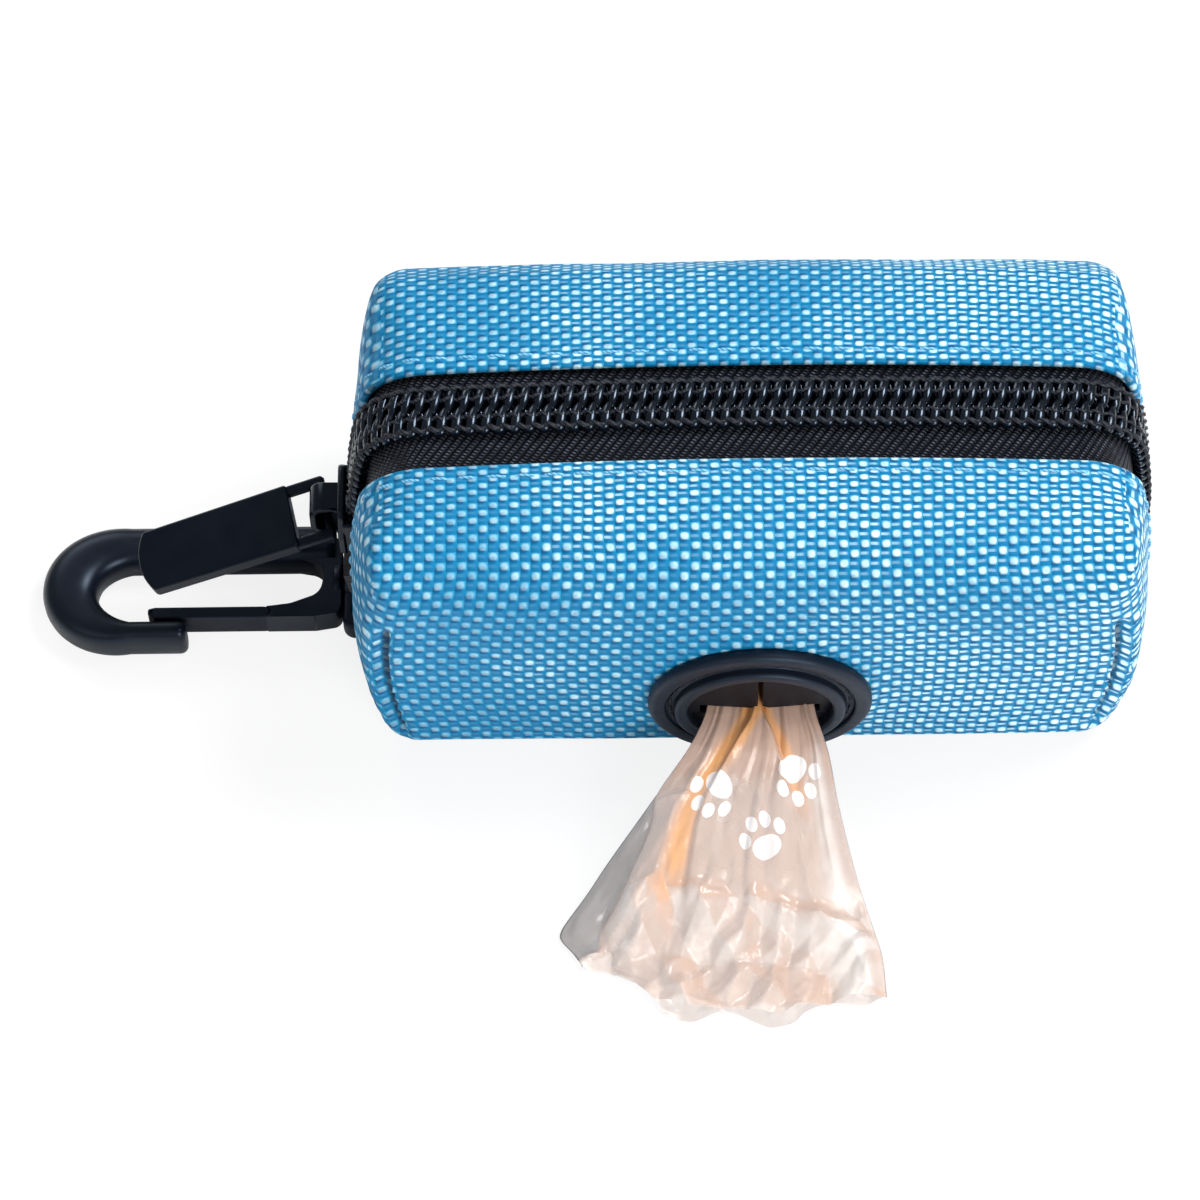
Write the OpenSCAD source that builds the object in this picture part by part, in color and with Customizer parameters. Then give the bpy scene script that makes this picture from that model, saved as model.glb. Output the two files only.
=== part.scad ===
// Dispenser pouch for rolls of dog waste bags: a boxy woven pouch with a coil zip over its top and
// both ends, a slit rubber grommet that the bags come out of, and a plastic swivel snap hook.
// Millimetres. X runs along the pouch, the grommet faces -Y, and the flat base lies on Z = 0.

/* [Pouch] */
// Length of the pouch over its bulged ends
pouch_l = 87.8; // [80:0.2:100]
// Depth of the pouch between the edges of its front and rear faces
pouch_w = 40.7; // [38:0.1:50]
// Height of the pouch in the middle of its top
pouch_h = 44.4; // [40:0.2:50]
// Thickness of the coated and lined cloth
cloth_t = 1.2; // [0.8:0.1:1.8]
// Radius of each end's bulge, seen from the front
end_r = 90; // [60:1:120]
// Height of the middle of each end's bulge
end_mid_z = 20; // [17:0.5:22]
// Radius that the top is crowned to along the pouch
top_r = 450; // [400:10:1500]
// Radius where the top turns down into an end
top_corner_r = 8; // [6:0.5:10]
// Radius where an end turns under the base, behind the hook
base_corner_r = 13.5; // [11:0.5:14]
// Radius of both those corners at the front and rear
side_corner_r = 3.5; // [3:0.5:8]
// Radius of the edges round the front and rear faces
face_edge_r = 3.2; // [2.6:0.1:4.5]
// How far the front and rear faces swell
face_crown = 0.8; // [0.4:0.1:2]
// How far the ends fall back towards the front and rear
end_crown = 1.7; // [1:0.1:4]
// How far the top falls towards the front and rear
top_crown = 1.6; // [0.5:0.1:2]

/* [Zip] */
// Height of the seam that closes each end below the zip
seam_z = 13.5; // [12:0.5:15]
// Distance from the chain to the front edge of the cloth
gap_front = 6.7; // [6:0.1:8.5]
// Distance from the chain to the rear edge of the cloth
gap_rear = 4.7; // [4.6:0.1:8.5]
// Thickness of the zip tape
tape_t = 0.6; // [0.4:0.1:0.7]
// Width of tape that is sewn under the cloth
tape_tuck = 2.6; // [1.5:0.1:3]
// Width of the closed chain of coils
chain_w = 5.8; // [5:0.1:6]
// Height of the coils above the tape
coil_h = 1.7; // [1.6:0.1:2.2]
// Distance from one coil to the next
coil_pitch = 1.6; // [1.3:0.05:1.8]
// Length of the slider
slider_l = 9; // [8:0.5:11]
// Width of the slider
slider_w = 8.4; // [8:0.1:9]
// Thickness of each slider plate
plate_t = 0.9; // [0.8:0.1:1.2]
// Width of the diamond that parts the coils
diamond_w = 1.1; // [0.9:0.1:1.3]
// Length of the diamond
diamond_l = 3; // [2.5:0.1:3.5]
// Height of the middle of the slider when the zip is shut
slider_z = 20.5; // [20:0.5:22]
// Clearance all round the tape and the chain in the slider
slide_gap = 0.25; // [0.15:0.05:0.3]

/* [Pull tab] */
// Length of the pull tab from its pin to its far end
tab_l = 22; // [16:0.2:26]
// Width of the pull tab at its pin
tab_w = 7.8; // [7.8:0.1:9]
// Width of the pull tab at its far end
tab_end_w = 7.4; // [6.5:0.1:9]
// Thickness of the pull tab
tab_t = 1.9; // [1.4:0.1:2]
// Thickness of the frame round its window
tab_frame_t = 1; // [1:0.1:1.4]
// Width of the window
window_w = 5.4; // [5.2:0.1:6]
// Length of the window from the pin
window_l = 3.8; // [3.6:0.1:6]
// Diameter of the pin
tab_pin_d = 1; // [0.8:0.1:1.1]
// Clearance of the turned pull tab in the slider's crown
tab_slack = 0.1; // [0.08:0.02:0.2]
// Angle that the tab lies at in plan, towards the front
tab_yaw = 12; // [0:1:16]
// Angle that the tab droops by
tab_droop = 14; // [0:1:16]
// Width of the slider's crown
crown_w = 3.6; // [3:0.1:4.2]
// Length of the crown along the slider
crown_l = 5.6; // [5.2:0.1:7]
// Thickness of the crown
crown_t = 0.8; // [0.8:0.1:1.3]

/* [Grommet] */
// Place of the grommet along the pouch
grommet_x = 1; // [-6:0.5:6]
// Height of the middle of the grommet
grommet_z = 15; // [14.6:0.1:17]
// Outside diameter of its flange
flange_d = 24.7; // [23:0.1:26]
// Height of the flange on the cloth
flange_t = 1.5; // [1:0.1:2]
// Outside diameter of the raised lip
lip_d = 19; // [18:0.1:19.4]
// Height of the raised lip above the flange
lip_h = 0.7; // [0.4:0.1:1.2]
// Diameter of the mouth
mouth_d = 16; // [15:0.1:16.4]
// Diameter of the barrel through the cloth
barrel_d = 19.2; // [18.4:0.1:19.4]
// Clearance between the barrel and the hole in the cloth
barrel_gap = 0.3; // [0.2:0.05:0.4]
// Thickness of the slit leaves in the mouth
leaf_t = 0.8; // [0.6:0.1:1]
// Height of the slit under the middle of the mouth
slit_drop = 1.5; // [0:0.1:2]
// Width of the upright slit between the two upper leaves
slit_w = 0.5; // [0.3:0.1:0.8]
// Clearance round the bag in the leaves
slit_gap = 0.4; // [0.3:0.05:0.6]

/* [Hook] */
// Reach of the hook from its pin to its nose, lying along X
hook_l = 38.9; // [36:0.1:44]
// Place of the hook's middle across the pouch
hook_y = -0.8; // [-2:0.1:2]
// Thickness of the hook
hook_t = 5.4; // [5:0.1:6]
// Width of the spine
spine_w = 4.9; // [4:0.1:5.5]
// Width of the bow at its nose
nose_w = 6.4; // [5:0.1:7]
// Width of the bow at its point
point_w = 2.7; // [2.4:0.1:3.2]
// Distance between the middles of the spine and of the point's arm
bow_w = 10.9; // [10:0.1:13]
// Length of the point's arm past the round of the bow
point_l = 6.5; // [5:0.1:8]
// Reach of the bow's round, from its straight arms to the middle of the nose
bow_reach = 6.9; // [6:0.1:8]
// Thickness of the springy gate
gate_t = 1.35; // [1.1:0.05:1.5]
// Depth of the gate along the hook's thickness
gate_h = 4; // [3.4:0.1:4.4]
// Length that the gate tucks behind the point
gate_tuck = 4.4; // [3:0.1:5]
// Length of the flexing part of the gate
gate_l = 13.2; // [12:0.1:15]
// Space that the gate keeps from the point and from its root
gate_gap = 0.2; // [0.12:0.02:0.3]
// Length of the hook's solid base
base_l = 2; // [2:0.1:3]
// Width of the hook at its base
shank_w = 8.8; // [7:0.2:10]
// Reach of the shank along the inside of the spine
shank_l = 4; // [3:0.2:5]
// Diameter of the swivel stem
stem_d = 2.6; // [2.2:0.1:2.8]
// Diameter of the head that keeps the stem in the eye
head_d = 3.8; // [3.4:0.1:4]
// Thickness of that head
head_t = 0.8; // [0.6:0.1:0.9]
// Running clearance of the stem in the eye
stem_gap = 0.06; // [0.04:0.01:0.1]
// Thickness of the eye's collar along the stem
collar_t = 1.4; // [1.4:0.1:2]
// Thickness of the eye
eye_t = 4.6; // [4.2:0.1:4.8]
// Width of each of the eye's side arms
eye_arm_w = 1.7; // [1.3:0.1:2]
// Depth of the eye's side arms along the hook's thickness
eye_arm_h = 3; // [2.6:0.1:3.6]
// Diameter of the eye's pin in the webbing
eye_pin_d = 2.2; // [1.8:0.1:2.4]

/* [Webbing loop] */
// Width of the webbing
web_w = 9; // [7:0.5:10]
// Thickness of the webbing
web_t = 0.7; // [0.5:0.05:0.8]
// Clearance of the eye's pin in the webbing
web_gap = 0.15; // [0.1:0.01:0.2]
// Space between the webbing and each of the eye's side arms
web_side_gap = 0.4; // [0.2:0.1:0.6]

/* [Bag roll] */
// Length of the roll of bags
roll_l = 60; // [50:0.5:64]
// Diameter of the full roll
roll_d = 29; // [22:0.2:30]
// Outside diameter of the cardboard core
core_d = 14.2; // [12:0.2:18]
// Thickness of the cardboard
core_t = 1.2; // [0.8:0.1:1.5]
// Space between the roll and the floor of the pouch
roll_gap = 0.25; // [0.1:0.05:0.6]
// Space between the roll and the bag that hangs out
bag_gap = 0.35; // [0.25:0.05:0.6]
// Width of the gathered bag in the slit
neck_w = 12.4; // [9:0.1:12.6]
// Thickness of the gathered bag in the slit
neck_t = 1.4; // [1:0.1:1.8]
// Reach of the bag in front of the pouch
bag_reach = 31; // [25:0.5:60]
// Width of the bag where it fans out on the table
bag_w = 37; // [30:0.5:50]
// Greatest puff of the crumpled bag
bag_puff = 5; // [3:0.1:8]

/* [Threads and seams] */
// Length of a stitch
stitch_l = 2.3; // [1.5:0.1:3]
// Distance from one stitch to the next
stitch_pitch = 3.1; // [2.8:0.1:4]
// Width and height of the thread
thread_d = 0.35; // [0.2:0.05:0.5]
// Distance of a row of stitches from the edge of the cloth
stitch_in = 1.6; // [1:0.1:2.4]
// Stitches round the grommet
ring_stitches = 28; // [16:1:36]
// Length of a seam binding across the pouch
binding_l = 22; // [16:1:24]
// Depth of a seam binding into the pouch
binding_d = 3; // [2:0.1:4]
// Thickness of a seam binding
binding_t = 1.8; // [1.2:0.1:2.2]
// Space between a seam binding and the tape
binding_gap = 0.3; // [0.25:0.05:0.5]

/* [Hidden] */
$fn = 48;
eps = 0.01;
seam_gap = 0.08;      // between two layers of cloth that are sewn together
half_l = pouch_l / 2;
half_w = pouch_w / 2;
face_y = half_w + face_crown;
crown_from = gap_front + tape_tuck + 1;
crown_mid = (crown_from + half_w - face_edge_r) / 2;
base_seam_y = gap_rear + 1.4;

// ---- the pouch's outline in the XZ plane -------------------------------------------------
// One side of it is a chain of arcs: top, top corner, end, base corner, and a flat base. All
// arcs shrink by the inset, so that an inner layer runs at an even distance from the outer one.

function rad(a) = a * PI / 180;
function polar(c, r, a) = c + r * [cos(a), sin(a)];
function direction(v) = atan2(v[1], v[0]);
function fan(c, r, a, b, n) = [for (i = [0 : n - 1]) polar(c, r, a + (b - a) * i / n)];

// How much of the crown has been lost at a distance y from the middle of the pouch, 0 to 1
function fall(y) = abs(y) <= crown_from ? 0 : pow((abs(y) - crown_from) / (half_w - crown_from), 2);
function len_at(y) = half_l - end_crown * fall(y);
function top_at(y) = pouch_h - top_crown * fall(y);
// A corner's radius, which changes from its value in the middle to the one at the front and rear
function corner_r_at(y, r) =
    let (from = crown_from, to = half_w - face_edge_r, f = min(1, max(0, (abs(y) - from) / (to - from))))
    r + (side_corner_r - r) * f;

function end_c(hl) = [hl - end_r, end_mid_z];
function top_c(h) = [0, h - top_r];
// Centre of the top corner, inside both the end's circle and the top's circle
function corner_c(hl, h, inset, rc) =
    let (c1 = end_c(hl), c2 = top_c(h), r1 = end_r - inset - rc, r2 = top_r - inset - rc,
         v = c2 - c1, d = norm(v), a = (r1 * r1 - r2 * r2 + d * d) / (2 * d), b = sqrt(r1 * r1 - a * a))
    c1 + v / d * a + [-v[1], v[0]] / d * b;
function base_c(hl, inset, rb) =
    let (c = end_c(hl), z = inset + rb)
    [c[0] + sqrt(pow(end_r - inset - rb, 2) - pow(end_mid_z - z, 2)), z];

TOP_N = 4;
CORNER_N = 6;
END_N = 8;
LOW_N = 3;
TURN_N = 4;
BASE_N = 3;
HALF_N = TOP_N + CORNER_N + END_N + LOW_N + TURN_N + BASE_N;
RING_N = 2 * HALF_N;
SEAM_I = TOP_N + CORNER_N + END_N;
least_r = 0.4;
least_low = 0.4;         // least turn of the end below the seam, in degrees

// The right half of the outline, from the middle of the top to just short of the middle of the base,
// with the radius ra at the top corner and rb at the base corner
function half_outline(hl, h, ra, rb, inset) =
    let (rc = max(ra - inset, least_r), rd = max(rb - inset, least_r),
         ct = top_c(h), ce = end_c(hl), cc = corner_c(hl, h, inset, rc), cb = base_c(hl, inset, rd),
         at = direction(cc - ct), ae = direction(cc - ce), ab = direction(cb - ce),
         seam = max(asin((seam_z - end_mid_z) / (end_r - inset)), ab + least_low))
    concat(fan(ct, top_r - inset, 90, at, TOP_N),
           fan(cc, rc, at, ae, CORNER_N),
           fan(ce, end_r - inset, ae, seam, END_N),
           fan(ce, end_r - inset, seam, ab, LOW_N),
           fan(cb, rd, ab, -90, TURN_N),
           [for (i = [0 : BASE_N - 1]) [cb[0] * (1 - i / BASE_N), inset]]);

// The whole outline, clockwise from the middle of the top
function outline(y, inset) =
    let (ra = corner_r_at(y, top_corner_r), rb = corner_r_at(y, base_corner_r),
         right = half_outline(len_at(y), top_at(y), ra, rb, inset))
    concat(right, [[0, inset]],
           [for (i = [HALF_N - 1 : -1 : 1]) [-right[i][0], right[i][1]]]);

// ---- the zip's path: the same arcs, followed by distance ----------------------------------
zip_rc = top_corner_r;
zip_ce = end_c(half_l);
zip_ct = top_c(pouch_h);
zip_cc = corner_c(half_l, pouch_h, 0, zip_rc);
zip_at = direction(zip_cc - zip_ct);
zip_ae = direction(zip_cc - zip_ce);
function end_angle(z) = asin((z - end_mid_z) / end_r);
end_run = end_r * rad(zip_ae);
corner_run = zip_rc * rad(zip_at - zip_ae);
top_run = top_r * rad(90 - zip_at);
half_run = end_run + corner_run + top_run;
// Distance along the path is counted from the middle of the end's bulge on the right
function run_of(z) = end_r * rad(end_angle(z));
// Direction that the path faces at distance s, and its point there, inset by some depth
function face_at(s) =
    s > half_run ? 180 - face_at(2 * half_run - s)
    : s < end_run ? s / end_r * 180 / PI
    : s < end_run + corner_run ? zip_ae + (s - end_run) / zip_rc * 180 / PI
    : zip_at + (s - end_run - corner_run) / top_r * 180 / PI;
function path_at(s, inset) =
    s > half_run ? let (p = path_at(2 * half_run - s, inset)) [-p[0], p[1]]
    : s < end_run ? polar(zip_ce, end_r - inset, face_at(s))
    : s < end_run + corner_run ? polar(zip_cc, zip_rc - inset, face_at(s))
    : polar(zip_ct, top_r - inset, face_at(s));

tape_top = cloth_t + seam_gap;
tape_end_z = seam_z - 1.2;
// The slider rides on the left end's arc
slider_at = end_angle(slider_z);
slider_half = slider_l / 2 / end_r * 180 / PI;
diamond_a = diamond_l / end_r * 180 / PI;
coil_low_a = slider_at - slider_half + diamond_a + 0.4;
coil_start = run_of(seam_z + 0.5);
coil_end = 2 * half_run - end_r * rad(coil_low_a);
coil_top = tape_top - coil_h;
plate_r = end_r - coil_top + slide_gap;
// The pin stands off the plate by what the yawed tab needs, and the crown clears the pin
pin_off = tab_w / 2 * sin(tab_yaw) + tab_frame_t / 2 + tab_slack;
crown_gap = pin_off + tab_pin_d / 2 + crown_w / 2 * sin(tab_yaw) + tab_slack;
pin_r = plate_r + plate_t + pin_off;
pin_at = [-zip_ce[0], 0, end_mid_z] + pin_r * [-cos(slider_at), 0, sin(slider_at)];

// ---- grommet, roll and bag ----------------------------------------------------------------
hole_r = barrel_d / 2 + barrel_gap;
slit_z = grommet_z - slit_drop;
roll_z = cloth_t + roll_gap + roll_d / 2;
roll_front = sqrt(pow(roll_d / 2, 2) - pow(roll_z - slit_z, 2));

// ---- hook -----------------------------------------------------------------------------------
eye_pin_z = hook_t / 2;
web_off = 0.12;                                       // from the webbing to the cloth
web_in_r = eye_pin_d / 2 + web_gap;
web_out_r = web_in_r + web_t;
low_c = base_c(half_l, 0, base_corner_r);
eye_pin_x = low_c[0] + sqrt(pow(base_corner_r + web_out_r + web_off, 2) - pow(base_corner_r - eye_pin_z, 2));
eye_open = web_t + web_gap + eye_pin_d / 2 + 0.3;      // from the pin to the stem's head
head_x = -eye_pin_x - eye_open;
collar_x = head_x - head_t - 0.1;
base_x = collar_x - collar_t - 0.15;
nose_x = -eye_pin_x - hook_l;
bow_x = nose_x + nose_w / 2 + bow_reach;
spine_y = hook_y + bow_w / 2 - 1;
point_y = spine_y - bow_w;
gate_y = point_y + point_w / 2 + gate_gap + gate_t / 2;
gate_tip_x = bow_x + point_l - gate_tuck;
gate_pin_x = gate_tip_x + gate_l;
root_x = base_x - base_l;

// ---- general shapes -------------------------------------------------------------------------

// A closed shell between two grids of points. grid[j][i] is row j and place i round a ring, and
// has(j, i) tells which cells between row j and row j + 1 are there. cap closes the last ring.
module shell(outer, inner, rows, cells, cap) {
    n = RING_N;
    layer = rows * n;
    function at(j, i, deep) = deep * layer + j * n + (i + n) % n;
    function has(j, i) = j >= 0 && j < rows - 1 && cells[j][(i + n) % n];
    skin = [for (j = [0 : rows - 2], i = [0 : n - 1]) if (has(j, i)) each
            [[at(j, i, 0), at(j, i + 1, 0), at(j + 1, i + 1, 0)],
             [at(j, i, 0), at(j + 1, i + 1, 0), at(j + 1, i, 0)],
             [at(j, i, 1), at(j + 1, i + 1, 1), at(j, i + 1, 1)],
             [at(j, i, 1), at(j + 1, i, 1), at(j + 1, i + 1, 1)]]];
    edges = [for (j = [0 : rows - 2], i = [0 : n - 1]) if (has(j, i)) each concat(
             has(j - 1, i) ? [] : [[at(j, i, 0), at(j, i, 1), at(j, i + 1, 1), at(j, i + 1, 0)]],
             has(j + 1, i) || (cap && j == rows - 2) ? []
                 : [[at(j + 1, i, 0), at(j + 1, i + 1, 0), at(j + 1, i + 1, 1), at(j + 1, i, 1)]],
             has(j, i - 1) ? [] : [[at(j, i, 0), at(j + 1, i, 0), at(j + 1, i, 1), at(j, i, 1)]],
             has(j, i + 1) ? []
                 : [[at(j, i + 1, 0), at(j, i + 1, 1), at(j + 1, i + 1, 1), at(j + 1, i + 1, 0)]])];
    walls = [for (q = edges) each [[q[0], q[1], q[2]], [q[0], q[2], q[3]]]];
    caps = cap ? [[for (i = [0 : n - 1]) at(rows - 1, i, 0)],
                  [for (i = [n - 1 : -1 : 0]) at(rows - 1, i, 1)]] : [];
    polyhedron([for (g = [outer, inner], row = g, p = row) p], concat(skin, walls, caps));
}

// Rows of the pouch's shape on the side that side = -1 (front) or 1 (rear) names, as
// [distance from the middle, turn round the face's edge, share of the way in to the face's hole]
EDGE_N = 3;
FACE_N = 3;
function rows_from(first) = concat(
    [for (y = first) [y, 0, 0]],
    [for (k = [0 : EDGE_N]) [half_w - face_edge_r, 90 * k / EDGE_N, 0]],
    [for (k = [1 : FACE_N]) [half_w - face_edge_r, 90, k / FACE_N]]);

// One ring of points. The hole of radius r round [hx, hz] is what the face closes in to.
function ring(side, row, inset, hx, hz, r) =
    let (er = face_edge_r, turn = row[1],
         y = row[0] + (er - inset) * sin(turn) + (row[2] > 0 ? face_crown * row[2] * (2 - row[2]) : 0),
         pts = outline(row[0] + er * sin(turn), er - (er - inset) * cos(turn)))
    [for (p = pts)
        let (a = atan2(p[1] - hz, p[0] - hx), q = [hx, hz] + r * [cos(a), sin(a)],
             m = p * (1 - row[2]) + q * row[2])
        [m[0], side * y, m[1]]];

module panel(side, first, hx, hz, r, cap, low_first) {
    rows = rows_from(first);
    cells = [for (j = [0 : len(rows) - 2]) [for (i = [0 : RING_N - 1])
             let (low = i >= SEAM_I && i < RING_N - SEAM_I)
             j > 0 || (low_first ? low : !low)]];
    outer = [for (row = rows) ring(side, row, 0, hx, hz, r)];
    inner = [for (row = rows) ring(side, row, cloth_t, hx, hz, r)];
    if (side < 0) shell(outer, inner, len(rows), cells, cap);
    else shell(inner, outer, len(rows), cells, cap);
}

// A band that follows the zip's path from s0 to s1, between two depths, and from y0 to y1
module zip_band(s0, s1, step, top, bottom, y0, y1) {
    n = ceil((s1 - s0) / step);
    s = [for (i = [0 : n]) s0 + (s1 - s0) * i / n];
    translate([0, y1, 0]) rotate([90, 0, 0]) linear_extrude(y1 - y0)
        polygon(concat([for (v = s) path_at(v, top)], [for (i = [n : -1 : 0]) path_at(s[i], bottom)]));
}

// Half of the zip's chain: a toothed bar on the tape, with one tooth for each turn of the coil
module coil_half(y0, y1, shift) {
    n = floor((coil_end - coil_start) / coil_pitch) - 1;
    tooth = 0.35;
    top = [for (i = [0 : n - 1]) let (s = coil_start + (i + shift) * coil_pitch) each
           [path_at(s, coil_top + tooth), path_at(s + 0.25 * coil_pitch, coil_top),
            path_at(s + 0.75 * coil_pitch, coil_top)]];
    last = coil_start + (n - 1 + shift + 1) * coil_pitch;
    low = [for (i = [n : -1 : 0]) path_at(coil_start + (i + shift) * coil_pitch, tape_top - seam_gap)];
    translate([0, y1, 0]) rotate([90, 0, 0]) linear_extrude(y1 - y0)
        polygon(concat(top, [path_at(last, coil_top + tooth)], low));
}

// A row of stitches on the cloth, along the zip
module stitch_row(y) {
    s0 = run_of(seam_z + 3);
    n = floor((2 * half_run - 2 * s0) / stitch_pitch);
    for (i = [0 : n]) {
        s = s0 + i * stitch_pitch;
        p = path_at(s, -thread_d / 2 - 0.12);
        translate([p[0], y, p[1]]) rotate([0, 90 - face_at(s), 0])
            cube([stitch_l, thread_d, thread_d], center = true);
    }
}

// What turns about the left end's middle, as a section swept through the angles from a to b
module end_sweep(a, b) {
    translate([-zip_ce[0], 0, end_mid_z]) rotate([90, 0, 0])
        rotate([0, 0, 180 - b]) rotate_extrude(angle = b - a, $fn = 180) children();
}

module slab(r0, r1, y0, y1) {
    translate([r0, y0]) square([r1 - r0, y1 - y0]);
}

// ---- pouch ----------------------------------------------------------------------------------

module front_panel() {
    color("#3d97cf") difference() {
        panel(-1, [-base_seam_y, gap_front, crown_from, crown_mid],
              grommet_x, grommet_z, hole_r - 1, false, true);
        translate([grommet_x, -half_w + face_edge_r, grommet_z]) rotate([90, 0, 0])
            cylinder(r = hole_r, h = half_w);
    }
}

module rear_panel() {
    color("#3d97cf") panel(1, [gap_rear, base_seam_y + seam_gap, crown_from, crown_mid],
                           0, pouch_h / 2, half_w / 2, true, false);
}

module zipper_tape_front() {
    color("#17171a") zip_band(run_of(tape_end_z), 2 * half_run - run_of(tape_end_z), 2,
                              tape_top, tape_top + tape_t, -gap_front - tape_tuck, -diamond_w / 2 - 0.2);
}

module zipper_tape_rear() {
    color("#17171a") zip_band(run_of(tape_end_z), 2 * half_run - run_of(tape_end_z), 2,
                              tape_top, tape_top + tape_t, diamond_w / 2 + 0.2, gap_rear + tape_tuck);
}

module zipper_coil_front() {
    color("#0d0d10") coil_half(-chain_w / 2, -seam_gap, 0);
}

module zipper_coil_rear() {
    color("#0d0d10") coil_half(seam_gap, chain_w / 2, 0.5);
}

module topstitch_front() {
    color("#5aaee0") stitch_row(-gap_front - stitch_in);
}

module topstitch_rear() {
    color("#5aaee0") stitch_row(gap_rear + stitch_in);
}

module end_binding(side) {
    deep = tape_top + tape_t + seam_gap;
    reach = end_c(half_l)[0] + (end_r - deep) * cos(end_angle(seam_z)) - binding_gap;
    color("#202024") translate([side * (reach - binding_d / 2), 0, seam_z])
        cube([binding_d, binding_l, binding_t], center = true);
}

module end_binding_left() {
    end_binding(-1);
}

module end_binding_right() {
    end_binding(1);
}

// ---- grommet --------------------------------------------------------------------------------

module grommet() {
    back = face_y - cloth_t - 0.1;
    front = face_y + 0.05;
    groove_w = 0.9;
    groove = 0.5;
    round_r = 0.6;
    module rim(y0, d, h) {
        translate([mouth_d / 2, y0]) square([(d - mouth_d) / 2, h]);
    }
    module leaves() {
        difference() {
            cylinder(d = mouth_d + eps, h = leaf_t);
            translate([-neck_w / 2 - slit_gap, -slit_drop - neck_t / 2 - slit_gap, -eps])
                cube([neck_w + 2 * slit_gap, neck_t + 2 * slit_gap, leaf_t + 2 * eps]);
            translate([-slit_w / 2, -slit_drop, -eps])
                cube([slit_w, mouth_d / 2 + slit_drop - 1, leaf_t + 2 * eps]);
        }
    }
    color("#1b1b1e") translate([grommet_x, 0, grommet_z]) rotate([90, 0, 0]) {
        rotate_extrude($fn = 96) difference() {
            union() {
                rim(front, flange_d - 2 * round_r, flange_t);
                rim(front, flange_d, flange_t - round_r);
                translate([flange_d / 2 - round_r, front + flange_t - round_r]) circle(round_r);
                rim(back, barrel_d, front + flange_t - back);
                rim(front, lip_d, flange_t + lip_h);
            }
            translate([lip_d / 2, front + flange_t - groove]) square([groove_w, groove + eps]);
        }
        translate([0, 0, front]) leaves();
    }
}

module grommet_stitching() {
    r = lip_d / 2 + 0.45;
    color("#2c2c31") translate([grommet_x, -face_y - 0.05 - flange_t + 0.5, grommet_z]) rotate([90, 0, 0])
        for (i = [0 : ring_stitches - 1]) rotate([0, 0, 360 * i / ring_stitches])
            translate([r - thread_d / 2, -0.7, 0]) cube([thread_d, 1.4, thread_d]);
}

// ---- webbing loop, which hangs from the left end's seam and holds the swivel eye ------------------

module webbing_loop() {
    plies = 2 * web_t;
    pin = [-eye_pin_x, eye_pin_z];
    pin_a = direction([eye_pin_x, eye_pin_z] - low_c);
    turn_a = direction(low_c - zip_ce);
    top_a = end_angle(seam_z + 0.6);
    steps = 4;
    // A point at distance d outside the cloth, where the pouch faces in direction a
    function out(a, d) =
        let (p = a > turn_a ? polar(zip_ce, end_r + d, a) : polar(low_c, base_corner_r + d, a)) [-p[0], p[1]];
    function down(last, d) = [for (i = [0 : steps]) out(top_a + (last - top_a) * i / steps, d)];
    function up(last, d) = [for (i = [steps : -1 : 0]) out(top_a + (last - top_a) * i / steps, d)];
    join = out(pin_a, web_off + web_t / 2);
    color("#141417") translate([0, hook_y + web_w / 2, 0]) rotate([90, 0, 0]) difference() {
        union() {
            linear_extrude(web_w)
                polygon(concat(down(pin_a + 4, web_off), [join], up(pin_a + 5, web_off + plies)));
            translate(pin) cylinder(r = web_out_r, h = web_w);
        }
        translate([pin[0], pin[1], -1]) cylinder(r = web_in_r, h = web_w + 2);
    }
}

// ---- slider and pull tab ----------------------------------------------------------------------------

module zip_slider() {
    a0 = slider_at - slider_half;
    a1 = slider_at + slider_half;
    flange_in = chain_w / 2 + slide_gap;
    tape_r = end_r - tape_top;
    low_r = tape_r - tape_t - slide_gap;
    hw = slider_w / 2;
    sunk = 0.1;           // of the diamond's ends in the plates
    color("#0f0f12") {
        end_sweep(a0, a1) union() {
            slab(plate_r, plate_r + plate_t, -hw, hw);
            slab(tape_r + slide_gap, plate_r + eps, -hw, -flange_in);
            slab(tape_r + slide_gap, plate_r + eps, flange_in, hw);
            slab(low_r - plate_t, low_r, -hw, hw);
        }
        end_sweep(a0 + 0.1, a0 + diamond_a)
            slab(low_r - sunk, plate_r + sunk, -diamond_w / 2, diamond_w / 2);
        crown();
    }
}

// The crown bridges the slider's outer plate, and the pull tab's pin runs under it
module crown() {
    foot = 0.2;           // sunk into the curved plate
    round_r = 1.2;
    high = crown_gap + crown_t;
    module arch() {
        translate([round_r - high, -crown_l / 2]) square([high - round_r + foot, crown_l]);
        translate([-high, round_r - crown_l / 2]) square([round_r + eps, crown_l - 2 * round_r]);
        for (s = [-1, 1]) translate([round_r - high, s * (crown_l / 2 - round_r)]) circle(round_r);
    }
    translate([-zip_ce[0], 0, end_mid_z]) rotate([0, slider_at, 0])
        translate([-plate_r - plate_t, crown_w / 2, 0]) rotate([90, 0, 0])
            linear_extrude(crown_w) difference() {
                arch();
                translate([-crown_gap, crown_t - crown_l / 2]) square([crown_gap, crown_l - 2 * crown_t]);
            }
}

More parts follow.
